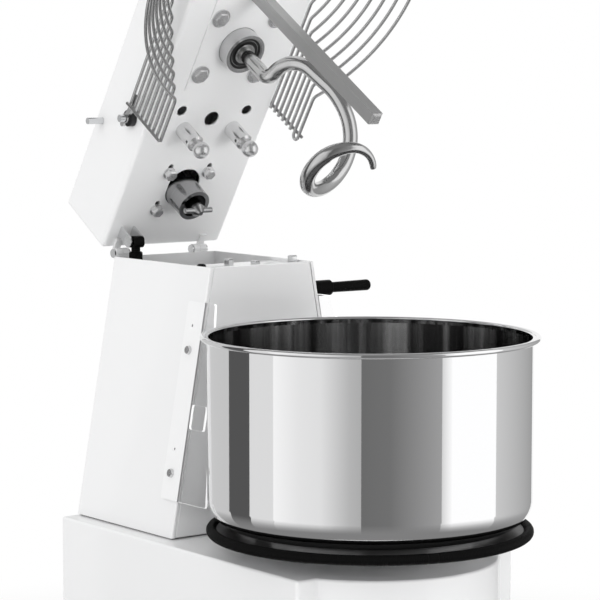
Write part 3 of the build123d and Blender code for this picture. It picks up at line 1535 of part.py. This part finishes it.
with BuildPart() as control_panel:
    with BuildSketch(panel_plane):
        with Locations((panel_y, panel_h)):
            RectangleRounded(*panel_size, 6)
    extrude(amount=panel_height)
    for height in button_spots.values():
        with BuildSketch(panel_plane.offset(panel_height)):
            with Locations((panel_y, height)):
                Circle(button_radius + button_gap)
        extrude(amount=-panel_height + 2, mode=Mode.SUBTRACT)
save(control_panel, "control_panel")

for name, height in button_spots.items():
    with BuildPart() as button:
        with BuildSketch(panel_plane.offset(panel_height - button_height + button_travel)):
            with Locations((panel_y, height)):
                Circle(button_radius)
        extrude(amount=button_height)
        fillet(button.faces().sort_by(Axis((0, 0, 0), panel_plane.z_dir))[-1].edges(), 1.5)
    save(button, name)
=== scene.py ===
import json
from math import cos, pi, radians, sin

import bpy
from mathutils import Matrix, Vector


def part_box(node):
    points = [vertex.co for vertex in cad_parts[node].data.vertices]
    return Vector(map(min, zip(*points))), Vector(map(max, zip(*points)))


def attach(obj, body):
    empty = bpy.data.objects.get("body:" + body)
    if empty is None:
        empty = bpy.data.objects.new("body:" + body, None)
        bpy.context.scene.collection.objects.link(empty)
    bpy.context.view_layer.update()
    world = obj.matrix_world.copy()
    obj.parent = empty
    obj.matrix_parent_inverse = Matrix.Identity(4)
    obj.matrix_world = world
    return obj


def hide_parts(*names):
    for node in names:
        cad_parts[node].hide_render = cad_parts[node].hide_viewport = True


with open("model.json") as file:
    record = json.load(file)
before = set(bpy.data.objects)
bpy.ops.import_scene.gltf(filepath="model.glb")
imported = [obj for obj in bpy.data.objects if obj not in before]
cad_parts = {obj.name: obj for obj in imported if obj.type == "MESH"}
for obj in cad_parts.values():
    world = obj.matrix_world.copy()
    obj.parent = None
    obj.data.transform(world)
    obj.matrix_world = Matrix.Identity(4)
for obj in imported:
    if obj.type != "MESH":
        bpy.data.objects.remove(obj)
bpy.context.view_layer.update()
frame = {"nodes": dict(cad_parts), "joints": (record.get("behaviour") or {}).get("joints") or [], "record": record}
print("mixer frame loaded:", len(frame["nodes"]), "nodes")

nodes = frame["nodes"]
joints = {joint["name"]: joint for joint in frame["joints"]}
bowlAxis = Vector(joints["bowl_spin"]["pos_m"])
spiralPoint = Vector(joints["spiral_spin"]["pos_m"])
couplingPoint = Vector(joints["input_shaft_spin"]["pos_m"])
pivotPoint = Vector(joints["guard_swing"]["pos_m"])
headDown = Vector(joints["spiral_spin"]["axis"])  # out of the head's underside
origin = Vector((0, 0, 0))
sideways = Vector((1, 0, 0))
backward = Vector((0, 1, 0))
upright = Vector((0, 0, 1))
mm = 0.001


# shader values as Python expressions
class Flow:
    def __init__(self, tree, socket):
        self.tree = tree
        self.socket = socket

    def math(self, operation, first, second=0.0):
        node = self.tree.nodes.new("ShaderNodeMath")
        node.operation = operation
        for slot, value in zip(node.inputs, (first, second)):
            if isinstance(value, Flow):
                self.tree.links.new(value.socket, slot)
            else:
                slot.default_value = value
        return Flow(self.tree, node.outputs[0])

    def __add__(self, other):
        return self.math("ADD", self, other)

    def __radd__(self, other):
        return self.math("ADD", other, self)

    def __sub__(self, other):
        return self.math("SUBTRACT", self, other)

    def __rsub__(self, other):
        return self.math("SUBTRACT", other, self)

    def __mul__(self, other):
        return self.math("MULTIPLY", self, other)

    def __rmul__(self, other):
        return self.math("MULTIPLY", other, self)

    def __gt__(self, other):
        return self.math("GREATER_THAN", self, other)

    def __lt__(self, other):
        return self.math("LESS_THAN", self, other)

    def __abs__(self):
        return self.math("ABSOLUTE", self)


# the nodes of one material, or of the world
class Finish:
    def __init__(self, name, world=False):
        self.owner = (bpy.data.worlds if world else bpy.data.materials).new(name)
        self.owner.use_nodes = True
        self.tree = self.owner.node_tree
        self.shader = self.tree.nodes["Background" if world else "Principled BSDF"]
        self.place = self.add("TexCoord", out="Object")

    # any node: its settings first, then the values or links of its sockets
    def add(self, kind, settings=None, inputs=None, out=0):
        node = self.tree.nodes.new("ShaderNode" + kind)
        for name, value in (settings or {}).items():
            if name == "stops":
                while len(node.color_ramp.elements) < len(value):
                    node.color_ramp.elements.new(0.5)
                for stop, (position, shade) in zip(node.color_ramp.elements, value):
                    stop.position = position
                    stop.color = (shade, shade, shade, 1)
            else:
                setattr(node, name, value)
        self.fill(node, inputs or {})
        return Flow(self.tree, node.outputs[out])

    def fill(self, node, inputs):
        for name, value in inputs.items():
            slot = node.inputs[name]
            if isinstance(value, Flow):
                self.tree.links.new(value.socket, slot)
            else:
                slot.default_value = value

    def surface(self, **values):
        self.fill(self.shader, {name.replace("_", " "): value for name, value in values.items()})
        return self.owner

    def vector(self, operation, *inputs, out="Vector"):
        return self.add("VectorMath", {"operation": operation}, dict(enumerate(inputs)), out=out)

    def dot(self, first, second):
        return self.vector("DOT_PRODUCT", first, second, out="Value")

    def noise(self, scale, detail=3.0, where=None, rough=0.55):
        inputs = {"Vector": where or self.place, "Scale": scale, "Detail": detail, "Roughness": rough}
        return self.add("TexNoise", inputs=inputs)

    # mix of two shades, each a fixed one or a value from other nodes
    def blend(self, factor, first, second):
        shades = [shade if isinstance(shade, Flow) else (*shade, 1) for shade in (first, second)]
        return self.add("Mix", {"data_type": "RGBA"}, {0: factor, 6: shades[0], 7: shades[1]}, out=2)

    def bump(self, height, strength, distance):
        return self.add("Bump", inputs={"Height": height, "Strength": strength, "Distance": distance})

    # how far a point lies along an axis through a given point
    def along(self, point, axis):
        return self.dot(self.vector("SUBTRACT", self.place, point), axis)

    # distance of a point on the surface from an axis in the part
    def radius(self, point, axis):
        shifted = self.vector("SUBTRACT", self.place, point)
        return self.vector("LENGTH", self.vector("CROSS_PRODUCT", shifted, axis), out="Value")

    # coordinates squeezed along an axis, so that noise draws lines that run with it
    def grain(self, axis, squeeze):
        run = self.dot(self.place, axis) * (1 - squeeze)
        shift = self.add("CombineXYZ", inputs={"X": run * axis[0], "Y": run * axis[1], "Z": run * axis[2]})
        return self.vector("SUBTRACT", self.place, shift)

    # turning marks: lines at the same distance from an axis and along it
    def turned(self, point, axis):
        return self.add("CombineXYZ", inputs={"X": self.radius(point, axis), "Y": self.along(point, axis)})

    # 1 where the camera, metal or glass looks at this, 0 where it only lights things
    def looking(self):
        kinds = ("Is Camera Ray", "Is Glossy Ray", "Is Transmission Ray")
        seenBy, inMetal, inGlass = (self.add("LightPath", out=kind) for kind in kinds)
        return (seenBy + inMetal + inGlass) > 0.5


# white powder coat on the folded sheet
powder = {
    "shade": (0.86, 0.862, 0.865),
    "thin": (0.85, 0.852, 0.856),
    "clouds": 9.0,
    "cloudDetail": 4.0,
    "rough": 0.29,  # below about 0.27 the denoiser leaves smudges on the large panels
    "spread": 0.04,
    "roughClouds": 35.0,
    "coat": 0.5,
    "coatRough": 0.06,
    "peel": 420.0,
    "peelDetail": 2.0,
    "peelStrength": 0.12,
    "peelDepth": 0.006 * mm,
}
white = Finish("whitePowder")
clouds = white.noise(powder["clouds"], powder["cloudDetail"])
peel = white.noise(powder["peel"], powder["peelDetail"])
whitePowder = white.surface(
    Base_Color=white.blend(clouds, powder["shade"], powder["thin"]),
    Roughness=white.noise(powder["roughClouds"]) * powder["spread"] + powder["rough"],
    Coat_Weight=powder["coat"],
    Coat_Roughness=powder["coatRough"],
    Normal=white.bump(peel, powder["peelStrength"], powder["peelDepth"]),
)

# bowl: mirror polish outside; duller inside, a rougher polish whose darker colour is painted shade, with pale and
# dark streaks up its wall that are painted reflections and a plain floor in painted shade
polish = {
    "shade": (0.80, 0.80, 0.805),
    "rough": 0.035,
    "spread": 0.03,
    "anisotropy": 0.92,
    "anisotropyTurn": 0.25,
    "lines": 900.0,
    "lineDetail": 2.0,
    "lineStrength": 1.0,
    "depth": 0.0004 * mm,
    "rim": 7.0 * mm,  # the rolled rim keeps the outside's finish
    "paintedStreaks": 5.0,
    "streakDetail": 5.0,
    "paintedStreakStops": ((0.40, 0.08), (0.49, 0.44), (0.59, 1.0)),
    "paintedFloorShade": (0.55, 0.55, 0.555),
    "insideRough": 0.10,  # on top of the outside's roughness
    "insideDepth": 3.0,  # on top of the polishing lines, as a multiple of them
}
mirror = Finish("bowlPolish")
roundBowl = mirror.turned(bowlAxis, upright)
bowlNormal = mirror.add("NewGeometry", out="Normal")
fromBowlAxis = mirror.vector("MULTIPLY", mirror.vector("SUBTRACT", mirror.place, bowlAxis), (1, 1, 0))
outward = mirror.vector("NORMALIZE", fromBowlAxis)
leanOut = mirror.dot(bowlNormal, outward)
leanUp = mirror.dot(bowlNormal, upright)
belowRim = mirror.along((0, 0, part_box("mixing_bowl")[1][2]), upright) < -polish["rim"]
insideMask = (leanOut < leanUp) * belowRim
# painted reflections: pale and dark streaks up the inside wall; the darker inside colour and floor are painted
# shade
paintedStreaks = mirror.noise(polish["paintedStreaks"], polish["streakDetail"], outward)
paintedWallShade = mirror.add("ValToRGB", {"stops": polish["paintedStreakStops"]}, {"Fac": paintedStreaks})
paintedInsideShade = mirror.blend(leanUp, paintedWallShade, polish["paintedFloorShade"])
polishLines = mirror.noise(polish["lines"], polish["lineDetail"], roundBowl)
lineHeight = polishLines * (insideMask * polish["insideDepth"] + 1)
bowlPolish = mirror.surface(
    Base_Color=mirror.blend(insideMask, polish["shade"], paintedInsideShade),
    Metallic=1.0,
    Anisotropic=polish["anisotropy"],
    Anisotropic_Rotation=polish["anisotropyTurn"],
    Roughness=polishLines * polish["spread"] + polish["rough"] + insideMask * polish["insideRough"],
    Normal=mirror.bump(lineHeight, polish["lineStrength"], polish["depth"]),
)

# clouded metal, as rolled, plated and cast stock has
clouded = {"clouds": 60.0, "grain": 840.0, "grainDetail": 2.0, "strength": 0.12, "depth": 0.03 * mm}


def plainMetal(name, shade, dull, rough, spread, metallic=1.0):
    metal = Finish(name)
    clouds = metal.noise(clouded["clouds"])
    grain = metal.noise(clouded["grain"], clouded["grainDetail"])
    return metal.surface(
        Base_Color=metal.blend(clouds, shade, dull),
        Metallic=metallic,
        Roughness=clouds * spread + rough,
        Normal=metal.bump(grain, clouded["strength"], clouded["depth"]),
    )


# metal with lines along an axis, as drawn or ground stock has
drawnLines = {"lines": 1600.0, "squeeze": 0.02, "strength": 0.25, "depth": 0.02 * mm}


def drawnMetal(name, shade, dull, rough, spread, axis, metallic):
    metal = Finish(name)
    lines = metal.noise(drawnLines["lines"], where=metal.grain(axis, drawnLines["squeeze"]))
    return metal.surface(
        Base_Color=metal.blend(lines, shade, dull),
        Metallic=metallic,
        Roughness=lines * spread + rough,
        Normal=metal.bump(lines, drawnLines["strength"], drawnLines["depth"]),
    )


# metal with tool marks round an axis
toolMarks = {"rings": 1400.0, "strength": 0.3, "depth": 0.03 * mm}


def latheMetal(name, shade, dull, rough, spread, point, axis):
    metal = Finish(name)
    rings = metal.noise(toolMarks["rings"], where=metal.turned(point, axis))
    return metal.surface(
        Base_Color=metal.blend(rings, shade, dull),
        Metallic=1.0,
        Roughness=rings * spread + rough,
        Normal=metal.bump(rings, toolMarks["strength"], toolMarks["depth"]),
    )


# rubber, plastic and paint with a fine grain
moulded = {
    "clouds": 80.0,
    "spread": 0.10,
    "grain": 900.0,
    "grainDetail": 2.0,
    "strength": 0.3,
    "depth": 0.03 * mm,
}


def plainCoat(name, shade, worn, rough, sheen=0.5):
    coat = Finish(name)
    clouds = coat.noise(moulded["clouds"])
    grain = coat.noise(moulded["grain"], moulded["grainDetail"])
    return coat.surface(
        Base_Color=coat.blend(clouds, shade, worn),
        Roughness=clouds * moulded["spread"] + rough,
        Specular_IOR_Level=sheen,
        Normal=coat.bump(grain, moulded["strength"], moulded["depth"]),
    )


# two shades, roughness and its spread, then how metallic
metals = {
    "satinStainless": ((0.66, 0.66, 0.65), (0.56, 0.56, 0.56), 0.16, 0.14),
    "wireStainless": ((0.64, 0.64, 0.64), (0.54, 0.54, 0.54), 0.18, 0.12),
    "spiralStainless": ((0.62, 0.62, 0.62), (0.52, 0.52, 0.52), 0.10, 0.10),
    "brightZinc": ((0.78, 0.785, 0.79), (0.66, 0.665, 0.67), 0.15, 0.12),
    "satinZinc": ((0.80, 0.80, 0.80), (0.66, 0.66, 0.67), 0.17, 0.10, 0.85),
    "turnedSteel": ((0.46, 0.46, 0.45), (0.36, 0.36, 0.36), 0.28, 0.15),
    "oiledSteel": ((0.22, 0.22, 0.23), (0.14, 0.14, 0.15), 0.34, 0.18),
    "galvanisedSheet": ((0.56, 0.57, 0.58), (0.44, 0.45, 0.47), 0.30, 0.22),
    "turnedAlloy": ((0.62, 0.62, 0.62), (0.52, 0.52, 0.53), 0.26, 0.14),
}
drawn = {"drawnBar": ((0.46, 0.46, 0.46), (0.38, 0.38, 0.38), 0.30, 0.16, headDown, 0.65)}
lathed = {
    "spiralSeat": ((0.66, 0.66, 0.66), (0.54, 0.54, 0.55), 0.16, 0.10, spiralPoint, headDown),
    "couplingSeat": ((0.44, 0.44, 0.44), (0.30, 0.30, 0.31), 0.12, 0.12, couplingPoint, headDown),
}
# two shades, roughness, then the specular level
coats = {
    "blackRubber": ((0.003, 0.003, 0.003), (0.005, 0.005, 0.005), 0.30, 0.05),
    "blackPlastic": ((0.004, 0.004, 0.004), (0.006, 0.006, 0.006), 0.30, 0.03),
    # dark gasket under the column: a seal, whose dark grey is also painted shade for the gap between column and
    # base
    "darkGasket": ((0.10, 0.10, 0.10), (0.14, 0.14, 0.14), 0.60),
    "motorGrey": ((0.20, 0.22, 0.24), (0.17, 0.18, 0.20), 0.40),
    "panelGrey": ((0.16, 0.17, 0.18), (0.19, 0.20, 0.21), 0.46),
    "startGreen": ((0.04, 0.36, 0.10), (0.05, 0.40, 0.12), 0.24),
    "stopRed": ((0.56, 0.025, 0.02), (0.60, 0.04, 0.03), 0.24),
}
finishes = {"whitePowder": whitePowder, "bowlPolish": bowlPolish}
for make, kinds in ((plainMetal, metals), (drawnMetal, drawn), (latheMetal, lathed), (plainCoat, coats)):
    finishes.update({name: make(name, *values) for name, values in kinds.items()})

# bearing with a dark seal between its bright rings
sealRing = {
    "inner": 13.2 * mm,
    "outer": 21.2 * mm,
    "line": 17.9 * mm,
    "lineHalf": 0.35 * mm,
    "steel": (0.50, 0.50, 0.50),
    "steelRough": 0.25,
    "seal": (0.006, 0.006, 0.006),
    "sealRough": 0.50,
}
bearing = Finish("sealedBearing")
fromSpiral = bearing.radius(spiralPoint, headDown)
sealLine = abs(fromSpiral - sealRing["line"]) > sealRing["lineHalf"]
sealMask = (fromSpiral > sealRing["inner"]) * (fromSpiral < sealRing["outer"]) * sealLine
finishes["sealedBearing"] = bearing.surface(
    Base_Color=bearing.blend(sealMask, sealRing["steel"], sealRing["seal"]),
    Metallic=1 - sealMask,
    Roughness=sealMask * (sealRing["sealRough"] - sealRing["steelRough"]) + sealRing["steelRough"],
)

# guard pivots: black bushes against the head, bright pins outside them
pivotBush = {
    "radius": 12.0 * mm,
    "reach": 97.0 * mm,
    "black": (0.010, 0.010, 0.011),
    "blackRough": 0.4,
    "steel": (0.72, 0.73, 0.74),
    "steelRough": 0.2,
}
bush = Finish("bushedPivot")
fromMiddle = abs(bush.along(pivotPoint, sideways))
bushMask = (bush.radius(pivotPoint, sideways) < pivotBush["radius"]) * (fromMiddle < pivotBush["reach"])
finishes["bushedPivot"] = bush.surface(
    Base_Color=bush.blend(bushMask, pivotBush["steel"], pivotBush["black"]),
    Metallic=1 - bushMask,
    Roughness=bushMask * (pivotBush["blackRough"] - pivotBush["steelRough"]) + pivotBush["steelRough"],
)

# clear sheet whose cut edges glow with a painted highlight; behind the column's front the white wall shows through
# it
clearSheet = {
    "shade": (0.94, 0.95, 0.95),
    "faceAlpha": 0.015,
    "faceLean": 0.8,  # a surface that faces less sideways than this is a cut edge
    "edgeAlpha": 0.85,
    # painted highlight on the cut edges: its colour, then how strongly it glows
    "paintedEdgeHighlight": (0.62, 0.62, 0.62),
    "glow": 1.0,
    "rough": 0.05,
    "overlap": 4.0 * mm,  # the wall starts this far ahead of its corner on the left, behind it on the right
}
clear = Finish("clearSheet")
sheetLean = abs(clear.dot(clear.add("NewGeometry", out="True Normal"), sideways))
leftSign = (clear.along(origin, sideways) < 0) * 2 - 1
behindFront = clear.along((0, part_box("column_shell")[0][1], 0), backward)
backed = (behindFront + leftSign * clearSheet["overlap"]) > 0
edgeMask = (sheetLean < clearSheet["faceLean"]) * (1 - backed)
seeThrough = edgeMask * (clearSheet["edgeAlpha"] - clearSheet["faceAlpha"]) + clearSheet["faceAlpha"]
finishes["clearSheet"] = clear.surface(
    Base_Color=clear.blend(backed, clearSheet["shade"], powder["shade"]),
    Roughness=backed * (powder["rough"] - clearSheet["rough"]) + clearSheet["rough"],
    Alpha=(1 - backed) * seeThrough + backed,
    # the cut edges glow: a painted highlight
    Emission_Color=clear.blend(edgeMask, (0, 0, 0), clearSheet["paintedEdgeHighlight"]),
    Emission_Strength=clearSheet["glow"],
)

# turntable plate: top near black as painted shade from the bowl above it, bare sheet below
plateLook = {
    "paintedTopShade": (0.03, 0.03, 0.03),
    "sheet": (0.55, 0.55, 0.56),
    "topLean": 0.5,
    "clouds": 80.0,
    "rough": 0.28,
    "spread": 0.1,
    "sheen": 0.12,
}
plate = Finish("shadedTopPlate")
plateUp = plate.dot(plate.add("NewGeometry", out="True Normal"), upright)
finishes["shadedTopPlate"] = plate.surface(
    # the top is painted near black for the shade the bowl casts on it
    Base_Color=plate.blend(plateUp > plateLook["topLean"], plateLook["sheet"], plateLook["paintedTopShade"]),
    Roughness=plate.noise(plateLook["clouds"]) * plateLook["spread"] + plateLook["rough"],
    Specular_IOR_Level=plateLook["sheen"],
)

finishBySlot = {
    "white_paint": "whitePowder",
    "bowl_steel": "bowlPolish",
    "stainless": "satinStainless",
    "zinc": "brightZinc",
    "machined_steel": "turnedSteel",
    "dark_steel": "oiledSteel",
    "bearing_steel": "turnedSteel",
    "black_rubber": "blackRubber",
    "black_plastic": "blackPlastic",
    "dark_gasket": "darkGasket",
    "clear_plastic": "clearSheet",
    "galvanised": "galvanisedSheet",
    "cast_body": "motorGrey",
    "pulley_alloy": "turnedAlloy",
    "panel_grey": "panelGrey",
    "start_green": "startGreen",
    "stop_red": "stopRed",
}
ownFinish = {
    "spiral_bearing": "sealedBearing",
    "spiral_housing": "spiralSeat",
    "coupling_housing": "couplingSeat",
    "coupling_shaft": "couplingSeat",
    "breaker_bar": "drawnBar",
    "guard_pivots": "bushedPivot",
    "turntable_plate": "shadedTopPlate",
    "head_bolts": "satinZinc",
    "lock_studs": "satinZinc",
    "column_screws": "satinZinc",
    "spiral_tool": "spiralStainless",
    "guard_wires_left": "wireStainless",
    "guard_wires_right": "wireStainless",
    "guard_wires_bends": "wireStainless",
    "guard_frame": "wireStainless",
}
for part in frame["record"]["subparts"]:
    node = nodes[part["node"]]
    finishName = ownFinish.get(part["node"], finishBySlot[part["material_slot"]])
    node.data.materials.clear()
    node.data.materials.append(finishes[finishName])
print("finishes set:", len(finishes))


# where something stands whose own x, y and z point along the given directions
def placement(ownX, ownY, ownZ, point):
    return Matrix.Translation(point) @ Matrix((ownX, ownY, ownZ)).transposed().to_4x4()


# camera where the photograph was taken from, placed from the bowl's axis
photoView = {
    "offset": (-1747.4, -2151.9, 563.0),  # in millimetres
    "turn": 37.44,
    "dip": 5.62,
    "lens": 148.32,
    "sensor": 36.0,
    "far": 50.0,
}
turn = radians(photoView["turn"])
dip = radians(photoView["dip"])
ahead = Vector((sin(turn) * cos(dip), cos(turn) * cos(dip), -sin(dip)))
rightward = Vector((cos(turn), -sin(turn), 0))
camera = bpy.data.objects.new("photoCamera", bpy.data.cameras.new("photoCamera"))
camera.data.lens = photoView["lens"]
camera.data.sensor_width = photoView["sensor"]
camera.data.clip_end = photoView["far"]
cameraPoint = bowlAxis + Vector(photoView["offset"]) * mm
camera.matrix_world = placement(rightward, rightward.cross(ahead), -ahead, cameraPoint)
bpy.context.scene.collection.objects.link(camera)
bpy.context.scene.camera = camera


def addMesh(name, vertices, faces, finish, smooth=False):
    mesh = bpy.data.meshes.new(name)
    mesh.from_pydata(vertices, [], faces)
    mesh.update()
    if smooth:
        mesh.shade_smooth()
    mesh.materials.append(finish)
    thing = bpy.data.objects.new(name, mesh)
    bpy.context.scene.collection.objects.link(thing)
    return thing


# ribbed rubber ring on the turntable's edge, closed by a short sleeve
ribbedRing = {
    "tube": 6.0 * mm,
    "pitch": 1.9 * mm,
    "depth": 0.45 * mm,
    "sides": 18,
    "profile": (0.0, 0.0, 1.0, 1.0),  # crest, crest, groove, groove
    "sleeveAt": -107.0,
    "sleeveHalf": 6.0 * mm,
    "sleeveSink": 0.4,  # as a multiple of the ribs' depth
    "sleeveEnd": 1.6,
}
ringLow, ringHigh = (Vector(corner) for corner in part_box("turntable_ring"))
ringRadius = (ringHigh.x - ringLow.x) / 2 - ribbedRing["tube"]
ringLevel = (ringLow.z + ringHigh.z) / 2
ribCount = round(2 * pi * ringRadius / ribbedRing["pitch"])
profile = ribbedRing["profile"]
stations = ribCount * len(profile)
sides = ribbedRing["sides"]
sleeveAt = radians(ribbedRing["sleeveAt"])
sleeveHalf = ribbedRing["sleeveHalf"]
ringVertices = []
ringFaces = []
for station in range(stations):
    swing = 2 * pi * station / stations
    fromSleeve = abs((swing - sleeveAt + pi) % (2 * pi) - pi) * ringRadius
    groove = profile[station % len(profile)]
    if fromSleeve < sleeveHalf:
        inSleeve = fromSleeve < sleeveHalf - ribbedRing["pitch"] / 2
        groove = ribbedRing["sleeveSink" if inSleeve else "sleeveEnd"]
    tube = ribbedRing["tube"] - groove * ribbedRing["depth"]
    here = station * sides
    following = (station + 1) % stations * sides
    for side in range(sides):
        bend = 2 * pi * side / sides
        reach = ringRadius + tube * cos(bend)
        ringVertices.append(
            (bowlAxis.x + reach * cos(swing), bowlAxis.y + reach * sin(swing), ringLevel + tube * sin(bend))
        )
        beside = (side + 1) % sides
        ringFaces.append((here + side, following + side, following + beside, here + beside))
rubberRing = addMesh("rubberRing", ringVertices, ringFaces, finishes["blackRubber"], smooth=True)
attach(rubberRing, "turntable")
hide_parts("turntable_ring")
print("ribbed ring:", ribCount, "ribs")


# a level square about the origin
def square(half, level):
    return [(x * half, y * half, level) for x, y in ((-1, -1), (1, -1), (1, 1), (-1, 1))]


# stage: pale floor that turns white further out, white surroundings, soft lamps and cards for the bowl
floorPlan = {"half": 8.0, "shade": (0.80, 0.80, 0.80), "rough": 0.8, "clearFrom": 0.7, "clearTo": 1.25}
paleFloor = Finish("paleFloor")
paleFloor.surface(Base_Color=(*floorPlan["shade"], 1), Roughness=floorPlan["rough"])
fade = paleFloor.add(
    "MapRange",
    {"clamp": True, "interpolation_type": "SMOOTHSTEP"},
    {
        "Value": paleFloor.radius(origin, upright),
        "From Min": floorPlan["clearFrom"],
        "From Max": floorPlan["clearTo"],
    },
)
glow = paleFloor.add("Emission", inputs={"Color": (1, 1, 1, 1), "Strength": 1.0})
matte = Flow(paleFloor.tree, paleFloor.shader.outputs[0])
mixed = paleFloor.add("MixShader", inputs={0: fade * paleFloor.looking(), 1: matte, 2: glow})
paleFloor.fill(paleFloor.tree.nodes["Material Output"], {"Surface": mixed})
floor = addMesh("floor", square(floorPlan["half"], 0), [(0, 1, 2, 3)], paleFloor.owner)

# curved cards round the bowl that only mirrors see, each with its first and last angle from the camera's
# side and its shade there
cardPlan = {
    "distance": 1.4,
    "height": 1.9,
    "step": 3.0,
    "cards": {
        "leftBack": (-165.0, -109.9, 0.67, 0.67),
        "leftDark": (-109.9, -87.0, 0.105, 0.105),
        "leftPale": (-87.0, -66.2, 0.87, 0.87),
        "frontWhite": (-66.2, -47.0, 1.12, 0.96),
        "frontPale": (-47.0, -32.0, 0.96, 0.91),
        "frontFade": (-32.0, -13.0, 0.91, 0.57),
        "frontEdge": (-13.0, -5.5, 0.57, 0.51),
        "frontDark": (-5.5, 13.0, 0.18, 0.20),
        "frontGrey": (13.0, 47.5, 0.20, 0.41),
        "rightFade": (47.5, 54.7, 0.81, 1.20),
        "rightWhite": (54.7, 92.5, 1.24, 1.24),
        "rightGrey": (92.5, 152.0, 0.71, 0.36),
    },
    "apron": {"inner": 0.30, "grey": 0.55, "level": 0.004, "shade": 0.26},  # on the floor, grey inward
    "ceiling": {"half": 1.6, "level": 1.9, "shade": 0.28},
}
toCamera = Vector((photoView["offset"][0], photoView["offset"][1], 0)).normalized()
toRight = Vector((-toCamera.y, toCamera.x, 0))
cardPlace = placement(toCamera, toRight, upright, Vector((bowlAxis.x, bowlAxis.y, 0)))


def placeCard(card):
    card.matrix_world = cardPlace
    card.visible_camera = False
    card.visible_diffuse = False
    card.visible_shadow = False
    card.visible_transmission = False


def glowCard(finish, shade):
    return finish.surface(
        Base_Color=(0, 0, 0, 1),
        Roughness=1.0,
        Specular_IOR_Level=0.0,
        Emission_Color=shade,
        Emission_Strength=1.0,
    )


def grey(shade):
    return (shade, shade, shade)


apron = cardPlan["apron"]
distance = cardPlan["distance"]
cardEdge = ((apron["inner"], apron["level"]), (distance, apron["level"]), (distance, cardPlan["height"]))
row = len(cardEdge)
for name, (first, last, firstShade, lastShade) in cardPlan["cards"].items():
    cardFinish = Finish(name)
    forward, right = (
        cardFinish.add("SeparateXYZ", inputs={"Vector": cardFinish.place}, out=axis) for axis in "XY"
    )
    share = (forward.math("ARCTAN2", right, forward) - radians(first)) * (1 / radians(last - first))
    fromWall = distance - cardFinish.radius(origin, upright)
    toGrey = fromWall * (1 / (distance - apron["grey"]))
    cardShade = cardFinish.blend(share, grey(firstShade), grey(lastShade))
    glowCard(cardFinish, cardFinish.blend(toGrey, cardShade, grey(apron["shade"])))
    steps = max(1, round((last - first) / cardPlan["step"]))
    corners = []
    faces = []
    for step in range(steps + 1):
        angle = radians(first + (last - first) * step / steps)
        corners += [(reach * cos(angle), reach * sin(angle), level) for reach, level in cardEdge]
    for step in range(steps):
        for low in range(step * row, step * row + row - 1):
            faces.append((low, low + 1, low + 1 + row, low + row))
    placeCard(addMesh(name, corners, faces, cardFinish.owner))
ceiling = cardPlan["ceiling"]
ceilingFinish = Finish("ceilingCard")
glowCard(ceilingFinish, (*grey(ceiling["shade"]), 1))
ceilingCorners = square(ceiling["half"], ceiling["level"])
placeCard(addMesh("ceilingCard", ceilingCorners, [(0, 1, 2, 3)], ceilingFinish.owner))

surroundings = {"seen": 1.0, "lighting": 0.95}
studio = Finish("studio", world=True)
moreSeen = studio.looking() * (surroundings["seen"] - surroundings["lighting"])
studio.surface(Color=(1, 1, 1, 1), Strength=moreSeen + surroundings["lighting"])
bpy.context.scene.world = studio.owner

# soft lamps that mirrors don't see; the narrow one lights the head's underside
lamps = {
    "keyLamp": {"place": (-2.8, -0.25, 2.0), "size": 1.8, "power": 20},
    "frontLamp": {"place": (0.2, -3.0, 0.4), "size": 1.6, "power": 8},
    "rightLamp": {"place": (2.6, 0.6, 1.8), "size": 1.4, "power": 10},
    "headLamp": {"place": (0.3, -1.6, 0.35), "size": 0.5, "power": 0.4, "aim": (0, 0.2, 0.84), "spread": 38},
}
plainLamp = {"aim": (0, 0, 0.6), "spread": 180}
for name, settings in lamps.items():
    lamp = {**plainLamp, **settings}
    light = bpy.data.lights.new(name, "AREA")
    light.energy = lamp["power"]
    light.size = lamp["size"]
    light.spread = radians(lamp["spread"])
    thing = bpy.data.objects.new(name, light)
    thing.location = lamp["place"]
    aim = Vector(lamp["aim"]) - Vector(lamp["place"])
    thing.rotation_euler = aim.to_track_quat("-Z", "Y").to_euler()
    thing.visible_glossy = False
    bpy.context.scene.collection.objects.link(thing)
bpy.context.scene.view_settings.view_transform = "Standard"
print("stage and camera set")
